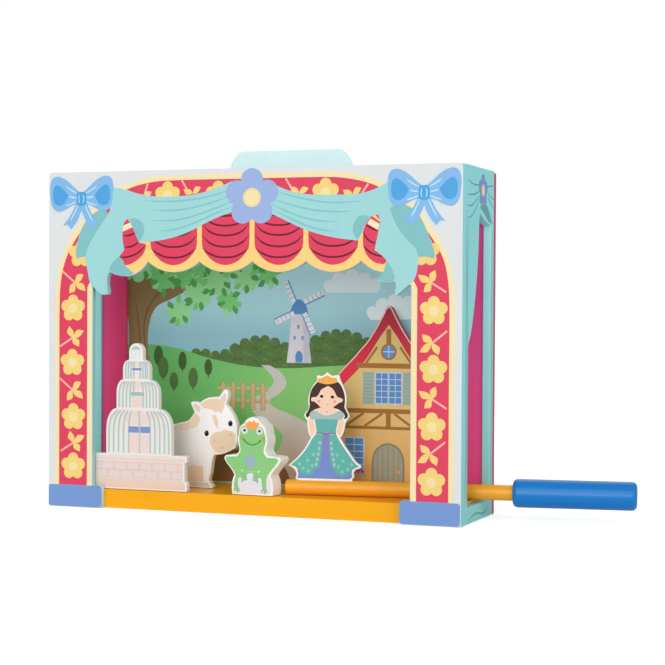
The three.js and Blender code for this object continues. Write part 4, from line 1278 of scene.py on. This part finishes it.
def printTree(face):
    face.lay("bark", 3, curved(tree["trunk"]))
    for i, line in enumerate(tree["grain"]):
        face.lay("barkDark", 3.4 + 0.1 * i, stroke(line, 1))
    leaves = 0
    for i, (u, v, radius, humps) in enumerate(tree["crowns"]):
        angles = [-2 * math.pi * k / humps for k in range(humps + 1)]
        ring = [(u + radius * math.cos(a), v + radius * math.sin(a)) for a in angles]
        face.lay(tree["crownInks"][i % 2], 3.8 + 0.1 * i, scalloped(ring, tree["bulge"])[:-1])
        for k in range(humps + 2):
            angle = 2.4 * k + i
            reach = radius * (0.35 + 0.62 * ((k * 0.618 + 0.3 * i) % 1))
            spot = (u + reach * math.cos(angle), v + reach * math.sin(angle))
            tip = (tree["leaf"] * math.cos(angle - 0.4), tree["leaf"] * math.sin(angle - 0.4))
            face.lay(tree["leafInks"][(i + k) % 4], 5.1 + 0.028 * (leaves % 31),
                     leaf(*spot, *tip, tree["leafWidth"]))
            leaves += 1


def printScene():
    face = PrintedFace(*landscape["place"])
    boardFrom("backdrop", "backdrop_board", "tabBlue", 0.4)
    left, foot, right, _ = landscape["sky"]
    # The sky ink is lighter towards the top, partly painted light where the valance shades the panel
    face.lay("sky", 1, panel(*landscape["sky"]))
    for top in landscape["clouds"]:
        ends = [Vector((top[-1][0] - 2, top[-1][1] - 3)), Vector((top[0][0] + 2, top[0][1] - 3))]
        face.lay("cloud", 1.4, scalloped(top, 0.46) + ends)
    printWood(face)
    for colour, level, rim, top in landscape["meadows"]:
        u0, u1, low = left + rim, right - rim, foot + rim
        face.lay(colour, level, curved([
            (u0, top[0][1], 0), *top[1:-1], (u1, top[-1][1], 0), (u1, low, 0), (u0, low, 0)]))
    face.lay("path", 2.8, curved(landscape["path"]))
    face.lay("bank", 3, curved(landscape["bank"]))
    for i, (u, v, radius, flat) in enumerate(landscape["bushes"]):
        face.lay("barkDark", 3.2, panel(u - 0.6, v - radius * flat - 2, u + 0.6, v))
        face.lay(("woodDark", "wood")[i % 2], 3.4 + 0.15 * (i % 2), disc(u, v, radius, flat, 28))
    printFence(face)
    printMill(face)
    printTree(face)
    face.finish("backdrop_print", "scene_panel", "scene_print")


# Side walls: a hung curtain printed round the opening
curtain = {
    "flower": (55, 254),
    "tie": [
        (48, 241), (55, 243), (64, 243.5), (72, 238.5), (82, 229.5, 0), (78, 229.8), (70, 231),
        (60, 236, 0), (52, 238.6),
    ],
    "folds": [
        [(12, 260), (25, 257.5), (38, 257), (45, 258.5)], [(10, 248.5), (25, 249), (38, 251), (44, 253)],
        [(10, 240.5), (22, 240.5), (33, 244), (43, 249)], [(14, 231), (24, 233), (36, 239.5), (45, 247)],
        [(65, 257), (75, 258.5), (86, 259.5)], [(68, 253), (78, 250), (86, 248.5)],
        [(68, 250), (76, 245.5), (86, 241.5)],
    ],
    "pleats": [
        [(11, 236), (10.4, 160), (12, 60), (10.6, 16)], [(14.8, 232), (14, 170), (15, 90), (14.6, 20)],
        [(82.6, 224), (82, 150), (83, 60), (82.2, 10)], [(20, 3), (40, 6), (62, 4), (76, 7)],
    ],
}


def printWall(face, mirror, name):
    for line in curtain["folds"]:
        face.lay("curtainLine", 1, shifted(stroke(line, 1), 0, 0, mirror))
    for line in curtain["pleats"]:
        face.lay("curtainShade", 1.4, shifted(stroke(line, 1.4), 0, 0, mirror))
    face.lay("curtainShade", 1.8, shifted(curved(curtain["tie"]), 0, 0, mirror))
    u, v = curtain["flower"]
    face.lay("blueDark", 2.4, blossom(u * mirror, v, 7.4, 5.2))
    face.lay("disc", 3, disc(u * mirror, v, 4.4))
    face.finish(name, "theatre", "wall_paint")


printFountain()
printPony()
printFrog()
printPrincess()
printCottage()
print("figures printed")
printScene()
print("scene panel printed")
printWall(PrintedFace(theatre["width"], 0, 90), 1, "right_wall_print")
printWall(PrintedFace(0, 0, -90), -1, "left_wall_print")
print("walls printed")


# Rod and grip, and the plain parts that keep their own shape
rodOrange = glossPaint("rodPaint", "F5A824", 0.25, 0.1, (0.05, 1, 1), 9)
gripBlue = glossPaint("gripPaint", "0478C6", 0.25, 0.1, (0.3, 1, 1), 9)
boardFrom("puppet_rod", "puppet_rod_painted", rodOrange, 0.3)
boardFrom("rod_handle", "rod_handle_painted", gripBlue, 0.8)


def woodMaterial():
    paint = Paint("bareWood")
    place = paint.place()
    rings = paint.noise(240, 3, place, (0.08, 1, 1))
    speck = paint.noise(1500, 1, place)
    return paint.finish(paint.blend(rings, colourOf("C9A06A"), colourOf("EBCF9E")), 0.5 + 0.15 * speck, rings)


def steelMaterial():
    paint = Paint("zincSteel")
    wear = paint.noise(900, 2, paint.place())
    tone = paint.blend(wear, colourOf("B4B8BC"), colourOf("D9DCDE"))
    return paint.finish(tone, 0.26 + 0.16 * wear, wear, 0.00003, Metallic=1.0)


plainParts = {"spacer": magenta, "dowel": woodMaterial(), "screw": steelMaterial()}
for name, node in frame["nodes"].items():
    for word, material in plainParts.items():
        if word in name:
            for slot in node.material_slots:
                slot.material = material
print("rod and plain parts finished")


# Studio: a pale floor that runs out into a white world. A sun has its direction, spread and strength.
studio = {
    "worldTone": 0.45, "floorGlow": 0.5, "floorSize": 30, "floorTones": (0.84, 0.86),
    "suns": {
        "keyLight": ((-0.1, -1.0, 0.55), 40, 0.84), "fillLight": ((0.1, -1.0, 0.07), 25, 0.6),
        "sideLight": ((1.2, -0.8, 0.6), 45, 0.85), "rearLight": ((-0.3, 1.0, 0.9), 45, 0.45),
    },
}


def grey(tone):
    return (tone, tone, tone, 1)


def buildWorld():
    world = bpy.data.worlds.new("studioWorld")
    bpy.context.scene.world = world
    world.use_nodes = True
    tree = world.node_tree
    light = tree.nodes.new("ShaderNodeLightPath")
    tone = tree.nodes.new("ShaderNodeMix")
    tone.data_type = "RGBA"
    tone.inputs[6].default_value = grey(studio["worldTone"])
    tone.inputs[7].default_value = grey(1)
    tree.links.new(light.outputs["Is Camera Ray"], tone.inputs[0])
    tree.links.new(tone.outputs[2], tree.nodes["Background"].inputs["Color"])


def buildFloor():
    bpy.ops.mesh.primitive_plane_add(size=studio["floorSize"], location=(0, 0, -0.0002))
    floor = bpy.context.active_object
    floor.name = "studioFloor"
    paint = Paint("floorPaper")
    speck = paint.noise(60, 2, paint.place())
    tone = paint.blend(speck, *[grey(tone) for tone in studio["floorTones"]])
    floor.data.materials.append(paint.finish(tone, 0.8 + 0.1 * speck, speck))
    paint.join(paint.blend(paint.add("LightPath"), grey(0), grey(1)), paint.shader.inputs["Emission Color"])
    paint.shader.inputs["Emission Strength"].default_value = studio["floorGlow"]


def softSun(name, direction, spread, strength):
    bpy.ops.object.light_add(type="SUN", location=direction)
    lamp = bpy.context.active_object
    lamp.name = name
    lamp.data.angle = math.radians(spread)
    lamp.data.energy = strength
    lamp.rotation_euler = (-Vector(direction)).to_track_quat("-Z", "Y").to_euler()


buildWorld()
buildFloor()
for name, sun in studio["suns"].items():
    softSun(name, *sun)
print("studio ready")

print("all pieces placed")
